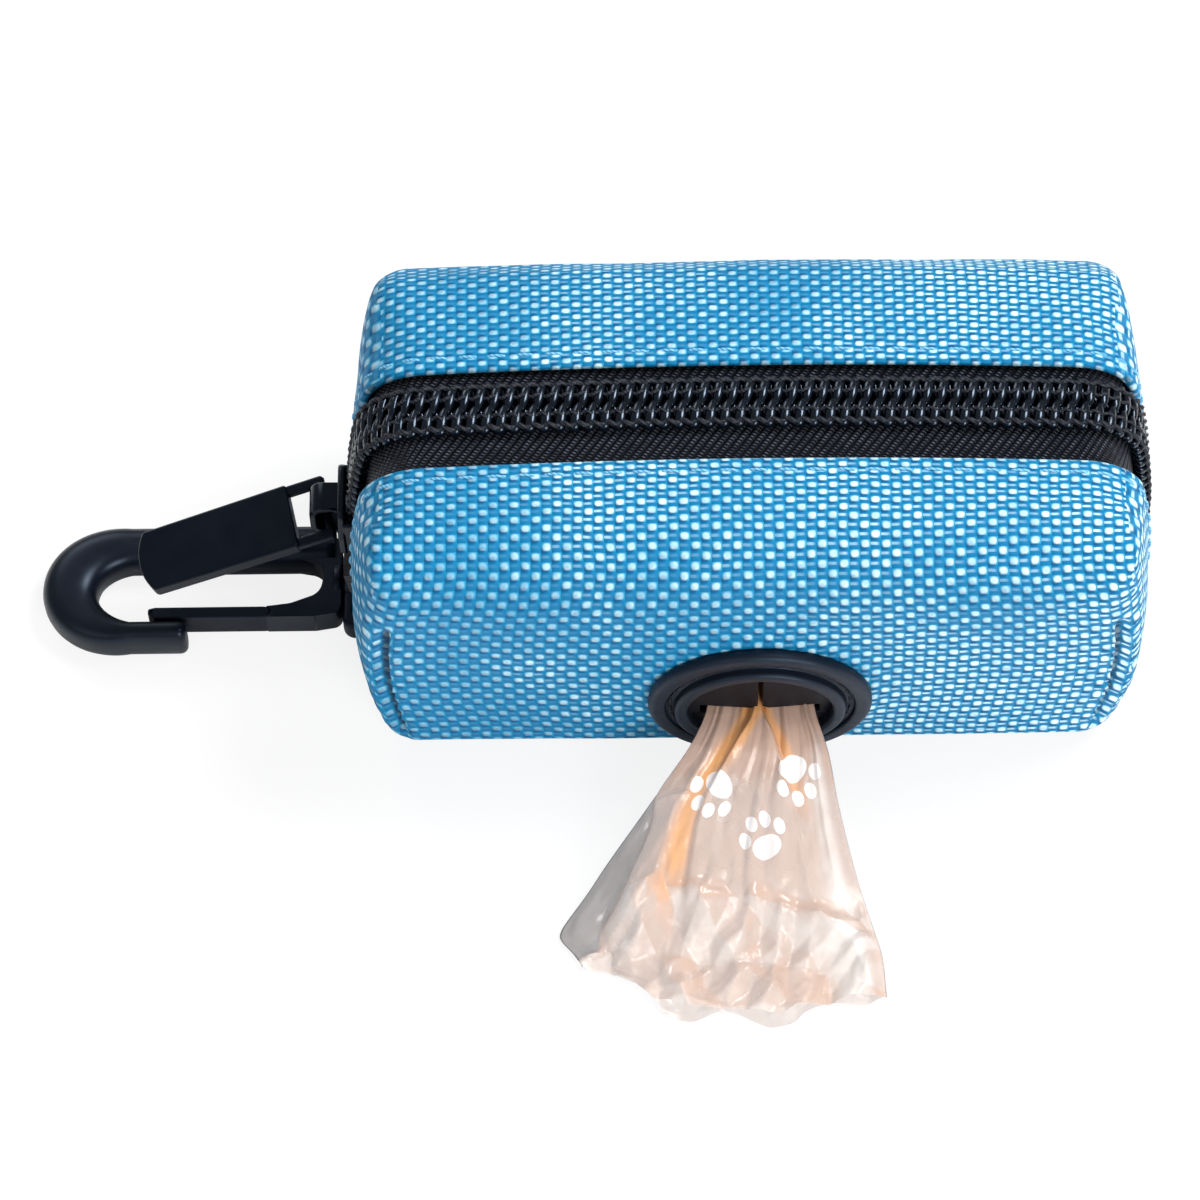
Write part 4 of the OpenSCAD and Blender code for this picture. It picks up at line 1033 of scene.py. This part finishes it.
HOOK_Y, HOOK_T = -0.8, 5.4
SPINE_W, NOSE_W, POINT_W, BOW_W, POINT_L, BOW_REACH = 4.9, 6.4, 2.7, 10.9, 6.5, 6.9
GATE_T, GATE_H = 1.35, 4.0
KNUCKLE_R = GATE_T / 2 + 0.05      # hollow of the shank that the gate's round root turns in
BOW_X, BASE_X, ROOT_X = -70.139, -46.039, -48.039
HEAD_X, COLLAR_X, EYE_PIN_X = -43.589, -44.489, -41.339
SPINE_Y, POINT_Y, GATE_Y = 3.65, -7.25, -5.025
GATE_TIP_X, GATE_PIN_X = -68.039, -54.839
BASE_L, SHANK_W, SHANK_L, COLLAR_T = 2.0, 8.8, 4.0, 1.4
EYE_PIN_Z = HOOK_T / 2


def bow_stations():
    """(x, y, width, height, direction) from the root along the spine, round the nose and to the point."""
    out = []
    start = ROOT_X + 1.2
    for f in np.linspace(0, 1, 22, endpoint=False):
        out.append((start + (BOW_X - start) * f, SPINE_Y, SPINE_W, HOOK_T, math.pi))
    for a in np.linspace(0, math.pi, 49):
        mean = (SPINE_W + POINT_W) / 2
        width = SPINE_W + (POINT_W - SPINE_W) * a / math.pi + (NOSE_W - mean) * math.sin(a)
        slope = math.atan2(BOW_W / 2 * math.sin(a), BOW_REACH * math.cos(a))
        out.append((BOW_X - BOW_REACH * math.sin(a), (SPINE_Y + POINT_Y) / 2 + BOW_W / 2 * math.cos(a),
                    width, HOOK_T, math.pi + slope))
    for f in np.linspace(0, 1, 9)[1:]:
        out.append((BOW_X + (POINT_L - 0.9) * f, POINT_Y, POINT_W, HOOK_T, 2 * math.pi))
    for t in np.sin(np.linspace(0, math.pi / 2, 8))[1:-1]:
        shrink = math.sqrt(1 - t * t)
        out.append((BOW_X + POINT_L - 0.9 + 0.9 * t, POINT_Y, POINT_W - 1.6 * (1 - shrink),
                    HOOK_T - 1.6 * (1 - shrink), 2 * math.pi))
    return out


def bow():
    """The bow, a rounded section swept along its stations."""
    sides, squareness = 32, 0.72
    turn = (np.arange(sides) + 0.5) * 2 * math.pi / sides
    flat = [np.sign(f(turn)) * np.abs(f(turn)) ** squareness for f in (np.cos, np.sin)]
    stations = bow_stations()
    verts = [np.stack([x - flat[0] * w / 2 * math.sin(d), y + flat[0] * w / 2 * math.cos(d),
                       EYE_PIN_Z + flat[1] * h / 2], 1) for x, y, w, h, d in stations]
    faces = grid_faces(len(stations), sides, wrap=True)
    faces += caps(len(stations), sides)
    return np.concatenate(verts), faces


def hook_body(material):
    """The bow, the flat shank with the hollow for the gate's root, and the stem with its head."""
    spine_out, spine_in = SPINE_Y + SPINE_W / 2 - 0.4, SPINE_Y - SPINE_W / 2
    gate_in, gate_out = GATE_Y + GATE_T / 2, GATE_Y - GATE_T / 2
    half = math.asin(GATE_T / 2 / KNUCKLE_R)
    knuckle = arc_points(GATE_PIN_X, GATE_Y, KNUCKLE_R, half, -half, 9)
    shank = rounded([(BASE_X, HOOK_Y + SHANK_W / 2), (ROOT_X, spine_out), (ROOT_X - SHANK_L, spine_out),
                     (ROOT_X - SHANK_L, spine_in + 0.6), (ROOT_X + 0.3, spine_in - 0.2),
                     (ROOT_X - 0.5, gate_in + 1.6), (ROOT_X - 0.95 * SHANK_L, gate_in + 0.35),
                     (knuckle[0][0], gate_in), *knuckle[1:-1], (knuckle[0][0], gate_out),
                     (ROOT_X - 1, gate_out), (BASE_X, HOOK_Y - SHANK_W / 2)],
                    (1.0, 1.5, 0.5, 0.5, 1.6, 1.6, 3, *[0] * len(knuckle), 2, 1.0))
    low = (HOOK_T - GATE_H) / 2
    plate = slab(shank, low, HOOK_T - low, 0.45)
    axis = (ALONG_Y, ALONG_Z, ALONG_X)
    bars = [placed(round_bar(radius, length, bevel), axis, (x, HOOK_Y, EYE_PIN_Z))
            for radius, length, bevel, x in ((HOOK_T / 2 - 0.1, BASE_L / 2, 0.3, BASE_X - BASE_L / 2),
                                             (1.3, HEAD_X - 0.8 - BASE_X + 0.1, 0.05, BASE_X - 0.1),
                                             (1.9, 0.8, 0.25, HEAD_X - 0.8))]
    hard("hook", "hook_body", "hook", "hook", material, bow(), plate, *bars)


def hook_gate(material):
    """The springy tongue, whose round root turns in the shank."""
    h = GATE_T / 2
    root = arc_points(GATE_PIN_X, GATE_Y, h, -math.pi / 2, math.pi / 2, 9)
    tongue = rounded([*root, (GATE_TIP_X + 0.8, GATE_Y + h), (GATE_TIP_X, GATE_Y + h - 0.2),
                      (GATE_TIP_X, GATE_Y + 0.5 - h), (GATE_TIP_X + 0.8, GATE_Y - h)],
                     [0] * len(root) + [0.4, 0.2, 0.2, 0.4])
    low = (HOOK_T - GATE_H) / 2
    hard("gate", "hook_gate", "gate", "hook", material, slab(tongue, low, HOOK_T - low, 0.2))


def swivel_eye(material):
    """The eye: a frame round the webbing, its pin, and the collar that the hook's stem turns in."""
    web_w, side_gap, arm_w, arm_h, eye_t = 9.0, 0.4, 1.7, 3.0, 4.6
    inner = web_w / 2 + side_gap
    outer = inner + arm_w
    collar_at, far_x = COLLAR_X - COLLAR_T, EYE_PIN_X + arm_h / 2
    frame_plan = rounded([(collar_at, -outer + 0.5), (collar_at, outer - 0.5), (EYE_PIN_X, outer),
                          (far_x, outer), (far_x, inner), (COLLAR_X, inner),
                          (COLLAR_X, -inner), (far_x, -inner), (far_x, -outer),
                          (EYE_PIN_X, -outer)], (1.2, 1.2, 0, 0.6, 0.6, 0.8, 0.8, 0.6, 0.6, 0))
    body = slab(frame_plan, -arm_h / 2, arm_h / 2, 0.45)
    pin = round_bar(1.1, 2 * outer - 0.6, 0.1)
    pin = placed(pin, (ALONG_Z, ALONG_X, ALONG_Y), (EYE_PIN_X, -outer + 0.3, 0))
    bore_r, rim_r = 1.36, eye_t / 2
    ring = turned([(bore_r, 0.1), (bore_r, COLLAR_T - 0.1), (bore_r + 0.1, COLLAR_T),
                   (rim_r - 0.3, COLLAR_T), (rim_r - 0.08, COLLAR_T - 0.12), (rim_r, COLLAR_T - 0.35),
                   (rim_r, 0.35), (rim_r - 0.08, 0.12), (rim_r - 0.3, 0.0), (bore_r + 0.1, 0.0)], 40)
    ring = placed(ring, (ALONG_Y, ALONG_Z, ALONG_X), (collar_at, 0, 0))
    shapes = [placed(shape, ALL_AXES, (0, HOOK_Y, EYE_PIN_Z)) for shape in (body, pin, ring)]
    hard("eye", "swivel_eye", "eye", "hook", material, *shapes)


# ---- grommet -------------------------------------------------------------------------------------

SLIT_DROP, NECK_W, NECK_T, SLIT_GAP, LEAF_T = 1.5, 12.4, 1.4, 0.4, 0.8
SLIT_Z = GROMMET_Z - SLIT_DROP
GROMMET_AXES = ((1, 0, 0), (0, 0, 1), (0, -1, 0))     # its own z points out of the cloth


def grommet(rubber, reflection_tinted_rubber, thread):
    """A flange with a rounded rim, a stitched groove and a raised lip, and the slit leaves in its mouth."""
    flange, thick, lip, mouth, barrel = 12.35, 1.5, 9.5, 8.0, 9.6
    top, groove, groove_w = thick + 0.7, 0.55, 0.95
    q, inside = math.pi / 2, -CLOTH_T - 0.1
    profile = (arc_points(flange - 0.35, 0.35, 0.35, -q, 0, 4)
               + arc_points(flange - 0.75, thick - 0.75, 0.75, 0, q)
               + arc_points(lip + groove_w + 0.3, thick - 0.3, 0.3, q, 2 * q, 4)
               + arc_points(lip + groove_w - 0.2, thick - groove + 0.2, 0.2, 0, -q, 3)
               + arc_points(lip + 0.2, thick - groove + 0.2, 0.2, 3 * q, 2 * q, 3)
               + arc_points(lip - 0.55, top - 0.55, 0.55, 0, q)
               + arc_points(mouth + 0.45, top - 0.45, 0.45, q, 2 * q)
               + [(mouth, thick), (mouth, 0.6), (mouth, inside), (barrel, inside), (barrel, 0.0)])
    ring_shape = turned(profile, 128)
    place = (GROMMET_X, -FACE_Y - 0.02, GROMMET_Z)
    hard("grommet_ring", "grommet", "pouch", "rubber", rubber, placed(ring_shape, GROMMET_AXES, place))

    radius = mouth + 0.15
    slot_top, slot_low = -SLIT_DROP + NECK_T / 2 + SLIT_GAP, -SLIT_DROP - NECK_T / 2 - SLIT_GAP
    slot_half = NECK_W / 2 + SLIT_GAP

    def leaf(side):
        start = math.asin(slot_top / radius)
        rim = arc_points(0, 0, radius, start, q - 0.25 / radius, 22)
        points = [(0.25, slot_top + 0.5), (0.9, slot_top), *rim]
        return [(side * x, y) for x, y in points]

    low_start = math.asin(slot_low / radius)
    under = arc_points(0, 0, radius, low_start, -math.pi - low_start, 30)
    shapes = []
    for outline_2d, sag in ((leaf(1), 0.55), (leaf(-1), 0.55), (under, 0.2)):
        verts, faces = slab(outline_2d, 0.0, LEAF_T - 0.1, 0.14)
        verts[:, 2] += 0.05 + sag * smoothstep(7.5, 0.5, np.hypot(verts[:, 0], verts[:, 1] - slot_top))
        shapes.append(placed((verts, faces), GROMMET_AXES, place))
    for side in (-1, 1):
        rim = arc_points(0, 0, radius, low_start, math.asin(slot_top / radius), 6)
        cheek = [(side * x, y) for x, y in ((slot_half, slot_low), *rim, (slot_half, slot_top))]
        shapes.append(placed(slab(cheek, 0.0, LEAF_T - 0.1, 0.08), GROMMET_AXES, place))
    hard("grommet_leaves", "grommet", "pouch", "rubber", reflection_tinted_rubber, *shapes)

    parts = []
    count, r = 34, lip + groove_w / 2
    for k in range(count):
        line = []
        for t in np.linspace(-1, 1, 7):
            a = 2 * math.pi * (k + 0.5 + 0.40 * t) / count
            line.append((r * math.cos(a), r * math.sin(a), thick - groove + 0.12 - 0.2 * abs(t) ** 3))
        parts.append(tube(line, 0.17, sides=6))
    verts, faces = placed(joined(parts), GROMMET_AXES, place)
    new_object("grommet_stitches", verts, faces, thread, "pouch", "thread_black", ("grommet_stitching",))


# ---- the bag that hangs out ----------------------------------------------------------------------

BAG_ROWS, BAG_HALF = 150, 132
BAG_START = 17.5                    # how far in front of the middle the film starts


def blend_curve(x, places, values):
    """A smooth curve that has these values at these places."""
    xs, ys = np.array(places, float), np.array(values, float)
    slopes = np.gradient(ys, xs)
    x = np.clip(x, xs[0], xs[-1])
    k = np.clip(np.searchsorted(xs, x, side="right") - 1, 0, len(xs) - 2)
    h = xs[k + 1] - xs[k]
    t = (x - xs[k]) / h
    return (ys[k] * (1 + 2 * t) * (1 - t) ** 2 + slopes[k] * h * t * (1 - t) ** 2
            + ys[k + 1] * t * t * (3 - 2 * t) - slopes[k + 1] * h * t * t * (1 - t))


def creased(points, sizes, seed):
    """Crumpled film: flat facets between broken creases, about -1 to 1. sizes are the facets' lengths."""
    total = 0.0
    for k, size in enumerate(sizes):
        angle = 2.4 * k + 0.7 * seed
        along = (points[:, 0] * math.cos(angle) + points[:, 1] * math.sin(angle)) / size
        along = along + 0.75 * noise_at(points, 2.0 * size, seed + k)
        total = total + size * (4 * np.abs(along % 1 - 0.5) - 1)
    return total / sum(sizes)


def flap_edges(v):
    """Left and right edges of the flap in the middle of the top layer, as shares of its width."""
    rows = (0, 0.12, 0.2, 0.3, 0.5, 0.62, 1)
    left = blend_curve(v, rows, (0.42, 0.43, 0.34, 0.31, 0.36, 0.38, 0.40))
    right = blend_curve(v, rows, (0.50, 0.51, 0.62, 0.72, 0.80, 0.82, 0.84))
    return left, right


def flank_edge(v):
    """Inner edge of the flank along the left side, which is painted in shade, as a share of the width."""
    rows = (0, 0.26, 0.36, 0.5, 0.7, 0.88, 1)
    return blend_curve(v, rows, (-0.05, -0.04, 0.08, 0.13, 0.13, 0.09, -0.04))


def top_lift(v, u):
    """Height of the top layer over its lower edge: the puffed tube, the raised flap and the long pleats."""
    puff = blend_curve(v, (0, 0.12, 0.2, 0.34, 0.5, 0.7, 1), (0.5, 0.6, 1.4, 2.6, 3.4, 3.0, 1.4))
    flank = flank_edge(v)
    inside = np.clip((u - flank) / (0.10 + 0.12 * (flank <= 0.02)), 0, 1) ** 0.6
    rim = 0.5 * np.minimum(u / 0.04, 1) * smoothstep(0.2, 0.4, v)
    lift = puff * inside * np.minimum((1 - u) / 0.10, 1) ** 0.6 + rim
    left, right = flap_edges(v)
    fade = smoothstep(0.72, 0.50, v)
    flap = smoothstep(left - 0.02, left + 0.012, u) * smoothstep(right + 0.02, right - 0.012, u)
    lift = lift + 1.0 * fade * flap
    strip = np.abs(u - 0.90) / 0.05
    lift = lift + 0.6 * fade * np.maximum(1 - strip, 0)
    fan = np.stack([u * 9.0, v * 1.6, 0 * u], 2).reshape(-1, 3)
    pleats = np.abs(noise_at(fan, 1.0, 5) + 0.5 * noise_at(fan * (2.3, 2.0, 1.0), 1.0, 8)).reshape(u.shape)
    return lift + 0.8 * pleats * fade * smoothstep(0.0, 0.10, u) * smoothstep(1.0, 0.9, u)


def bag_tone_and_light(v, u, lift):
    """How orange and how white the top layer looks: orange bands beside its flap, painted shade on the left
    flank, and painted highlights and shade on the facets by how they face the light.
    """
    left, right = flap_edges(v)
    # painted shade: the left flank, turned away from the light, goes grey
    flank = smoothstep(0.015, -0.015, u - flank_edge(v)) * smoothstep(0.24, 0.34, v)
    band = 0.9 * np.exp(-((u - left + 0.06) / 0.07) ** 2) * smoothstep(0.66, 0.46, v)
    band = band + 0.75 * np.exp(-((u - right - 0.045) / 0.06) ** 2) * smoothstep(0.44, 0.30, v)
    band = band + 0.7 * np.exp(-((u - left - 0.045) / 0.05) ** 2) * smoothstep(0.34, 0.16, v)
    warm = np.clip(0.5 + 0.5 * band, 0, 1) * (1 - flank)
    # painted light by the facets' slope: whiter facing the light, warmer turned from it
    facing = -np.gradient(lift, axis=0) * 3.2 + np.gradient(lift, axis=1) * 1.6
    crumpled = smoothstep(0.46, 0.60, v)
    white = 0.06 + crumpled * (0.24 + 0.50 * facing)
    # painted highlight along the ridge at the right
    white = white + 0.55 * np.exp(-((u - 0.90) / 0.05) ** 2) * smoothstep(0.16, 0.28, v)
    # painted shade: crumpled facets turned from the light get warmer
    warm = warm + 0.20 * crumpled * (1 - flank) * smoothstep(0.1, -0.5, facing)
    return np.clip(warm, 0, 1), np.clip(white * (1 - 0.75 * flank), 0, 1)


def bag_layer(top):
    """Points of one layer of the flattened bag, row after row from inside the grommet to its open end, and
    the two numbers of its tone and painted light."""
    v = np.linspace(0, 1, BAG_ROWS)[:, None] + np.zeros((1, BAG_HALF))
    u = np.linspace(0, 1, BAG_HALF)[None, :] + np.zeros((BAG_ROWS, 1))
    rows = (0, 0.12, 0.2, 0.32, 0.5, 0.75, 1)
    y = blend_curve(v, (0, 0.12, 0.3, 0.5, 0.75, 1), (-BAG_START, -22.6, -30.0, -38.0, -46.0, -52.6))
    z = blend_curve(v, (0, 0.12, 0.2, 0.34, 0.48, 0.6, 1), (SLIT_Z, SLIT_Z, 11.6, 6.6, 3.2, 1.6, 0.5))
    left = blend_curve(v, rows, (-4.9, -5.0, -6.8, -11.4, -17.4, -21.4, -19.0))
    right = blend_curve(v, rows, (7.0, 7.2, 8.4, 9.6, 11.6, 14.0, 14.6))
    x = left + (right - left) * u
    if top:
        z = z + top_lift(v, u)
    else:
        z = z - 0.25 + 0.25 * np.sin(u * 9) * smoothstep(0.22, 0.62, v)
        y = y - 0.5 * np.sin(u * 21.0 + 1.0) * smoothstep(0.8, 1.0, v)
    end = smoothstep(0.62, 1.0, v)
    y = y - 1.0 * np.sin(math.pi * u) * end + 0.45 * np.sin(u * 17) * smoothstep(0.85, 1.0, v)
    y = y + 5.2 * (1 - smoothstep(0.0, 0.42, u)) * smoothstep(0.5, 1.0, v)
    y = y + 1.6 * smoothstep(0.72, 1.0, u) * end
    spots = np.stack([x, y, 0.3 * z], 2).reshape(-1, 3)
    seed = 11 if top else 14
    start = 0.46 + 0.10 * smoothstep(0.25, 0.6, u) - 0.04 * np.sin(u * 14)
    amount = smoothstep(start, start + 0.10, v) * (0.2 + 0.8 * smoothstep(0.0, 0.04, u - flank_edge(v)))
    edge = np.minimum(1, np.minimum(u, 1 - u) / 0.05)
    shape = (BAG_ROWS, BAG_HALF)
    crumple = creased(spots, (11.0, 7.6, 5.2, 3.5), seed).reshape(shape)
    fine = creased(spots * (1.0, 0.4, 1.0), (2.6, 1.7, 1.2), seed + 3).reshape(shape)
    lift = amount * (3.4 if top else 0.8) * crumple + 0.16 * fine * smoothstep(0.14, 0.3, v)
    z = np.maximum(z + lift * edge, 0.22 if top else 0.10)
    x = x + 0.7 * amount * noise_at(spots, 3.0, seed + 6).reshape(shape) * edge
    # the lower layer: painted highlights where it is crumpled
    zones = bag_tone_and_light(v, u, lift) if top else (0.5 + 0 * v, 0.25 + 0.3 * amount)
    return np.stack([x, y, z], 2), np.stack(zones, 2)


def leading_bag(material):
    """A flattened tube of thin film, pleated where it comes out of the grommet and crumpled at its end."""
    (top, top_zones), (low, low_zones) = bag_layer(True), bag_layer(False)
    blend = smoothstep(0.05, 0.0, np.linspace(0, 1, BAG_HALF))[None, :, None]
    low = low * (1 - blend - blend[:, ::-1]) + top * (blend + blend[:, ::-1])
    loop = np.concatenate([top, low[:, -2:0:-1]], axis=1)
    zones = np.concatenate([top_zones, low_zones[:, -2:0:-1]], axis=1).reshape(-1, 2)
    rows, cols = loop.shape[:2]
    points = loop.reshape(-1, 3)
    faces = grid_faces(rows, cols, wrap=True)
    obj = new_object("bag", points, faces, material, "bag", "bag_film", ("leading_bag",))
    pattern, shades = (obj.data.uv_layers.new(name=name) for name in ("pattern", "zones"))
    for loop_data in obj.data.loops:
        k = loop_data.vertex_index
        x, y, _ = points[k]
        lower = LOWER_SHIFT if k % cols >= BAG_HALF else 0.0
        pattern.data[loop_data.index].uv = (x - GROMMET_X + lower, -y - BAG_START)
        shades.data[loop_data.index].uv = zones[k]


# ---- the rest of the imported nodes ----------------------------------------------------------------


def dress(node, material):
    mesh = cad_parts[node].data
    mesh.materials.clear()
    mesh.materials.append(material)


def hardware():
    black = plastic("hook_plastic", (0.0025, 0.0035, 0.0075), 0.33, specular=0.26)
    swivel_eye(black)
    hook_body(black)
    hook_gate(plastic("gate_plastic", (0.003, 0.004, 0.008), 0.38, specular=0.16))
    zip_slider(plastic("slider_paint", (0.002, 0.003, 0.006), 0.24, grain=0.008, specular=0.25))
    pull_tab(plastic("tab_paint", (0.002, 0.0028, 0.006), 0.30, grain=0.006, specular=0.15))
    rubber = plastic("rubber", (0.0035, 0.006, 0.013), 0.44, grain=0.05, specular=0.34, scale=2.2)
    # painted reflection: the leaves' rubber is tinted brownish by the bag film over them
    reflection_tinted_rubber = plastic("reflection_tinted_rubber", (0.007, 0.0055, 0.007), 0.5, grain=0.02, specular=0.15)
    thread = thread_material("grommet_thread", (0.002, 0.0025, 0.004), (0.018, 0.02, 0.028))
    grommet(rubber, reflection_tinted_rubber, thread)
    dress("webbing_loop", webbing_material())
    binding = thread_material("binding_tape", (0.008, 0.008, 0.010), (0.03, 0.03, 0.035), 1.2)
    dress("end_binding_left", binding)
    dress("end_binding_right", binding)
    dress("roll_core", card_material())
    dress("bag_roll", film_material("rolled_film"))
    leading_bag(bag_material())


# ---- stage ---------------------------------------------------------------------------------------


def area_light(name, place, size, power):
    """A square softbox at a place in metres, aimed at the pouch."""
    light = bpy.data.lights.new(name, "AREA")
    light.size = size
    light.energy = power
    obj = bpy.data.objects.new(name, light)
    obj.location = place
    obj.rotation_euler = (Vector((0, 0, 0.02)) - obj.location).to_track_quat("-Z", "Y").to_euler()
    bpy.context.scene.collection.objects.link(obj)


def seen_as_white(tree, shader, share):
    """Mixes a shader with plain white where the camera, or a reflection or refraction, looks at it."""
    path = tree.nodes.new("ShaderNodeLightPath")
    white = tree.nodes.new("ShaderNodeEmission")
    seen = tree.nodes.new("ShaderNodeMath")
    seen.operation = "MAXIMUM"
    tree.links.new(path.outputs["Is Camera Ray"], seen.inputs[0])
    tree.links.new(path.outputs["Is Transmission Ray"], seen.inputs[1])
    part = tree.nodes.new("ShaderNodeMath")
    part.operation = "MULTIPLY"
    part.inputs[1].default_value = share
    tree.links.new(seen.outputs[0], part.inputs[0])
    mix = tree.nodes.new("ShaderNodeMixShader")
    tree.links.new(part.outputs[0], mix.inputs[0])
    tree.links.new(shader.outputs[0], mix.inputs[1])
    tree.links.new(white.outputs[0], mix.inputs[2])
    return mix


def stage():
    """A white table top, soft studio light and a pale world."""
    scene = bpy.context.scene
    scene.view_settings.view_transform = "Standard"
    floor_mat = bpy.data.materials.new("table_top")
    floor_mat.use_nodes = True
    tree = floor_mat.node_tree
    diffuse = tree.nodes["Principled BSDF"]
    diffuse.inputs["Base Color"].default_value = (0.90, 0.90, 0.90, 1)
    diffuse.inputs["Roughness"].default_value = 0.9
    mix = seen_as_white(tree, diffuse, 0.84)
    tree.links.new(mix.outputs[0], tree.nodes["Material Output"].inputs[0])
    mesh = bpy.data.meshes.new("table_top")
    half = 3.0
    corners = [(-half, -half, 0), (half, -half, 0), (half, half, 0), (-half, half, 0)]
    mesh.from_pydata(corners, [], [(0, 1, 2, 3)])
    mesh.materials.append(floor_mat)
    floor = bpy.data.objects.new("table_top", mesh)
    scene.collection.objects.link(floor)

    world = bpy.data.worlds.new("studio")
    scene.world = world
    world.use_nodes = True
    tree = world.node_tree
    background = tree.nodes["Background"]
    background.inputs["Color"].default_value = (1, 1, 1, 1)
    background.inputs["Strength"].default_value = 0.36
    mix = seen_as_white(tree, background, 1.0)
    tree.links.new(mix.outputs[0], tree.nodes["World Output"].inputs[0])

    area_light("key", (0.30, 0.16, 0.62), 0.26, 5.0)
    area_light("front", (0.30, -0.62, 0.36), 0.34, 4.2)
    area_light("fill", (-0.38, -0.45, 0.45), 0.40, 0.6)
    area_light("rim", (-0.25, 0.45, 0.35), 0.25, 0.9)


def camera():
    """The photograph's view: a long lens, high in front of the pouch, turned and rolled slightly."""
    elevation, azimuth, roll = math.radians(64.0), math.radians(0.94), math.radians(-1.54)
    distance, shift_x, shift_y = 574.15, -16.64, -1.85
    back = Vector((math.sin(azimuth) * math.cos(elevation), -math.cos(azimuth) * math.cos(elevation),
                   math.sin(elevation)))
    level = (-back).cross(Vector((0, 0, 1))).normalized()
    upright = level.cross(-back)
    right = math.cos(roll) * level + math.sin(roll) * upright
    up = -math.sin(roll) * level + math.cos(roll) * upright
    place = (back * distance + right * shift_x + up * shift_y) * MM
    data = bpy.data.cameras.new("camera")
    data.sensor_width = 36.0
    data.lens = 150.0
    data.clip_start = 0.01
    obj = bpy.data.objects.new("camera", data)
    obj.matrix_world = Matrix.Translation(place) @ Matrix((right, up, back)).transposed().to_4x4()
    bpy.context.scene.collection.objects.link(obj)
    bpy.context.scene.camera = obj


camera()
stage()
cloth_panels(cloth_material())
zip_parts()
hardware()
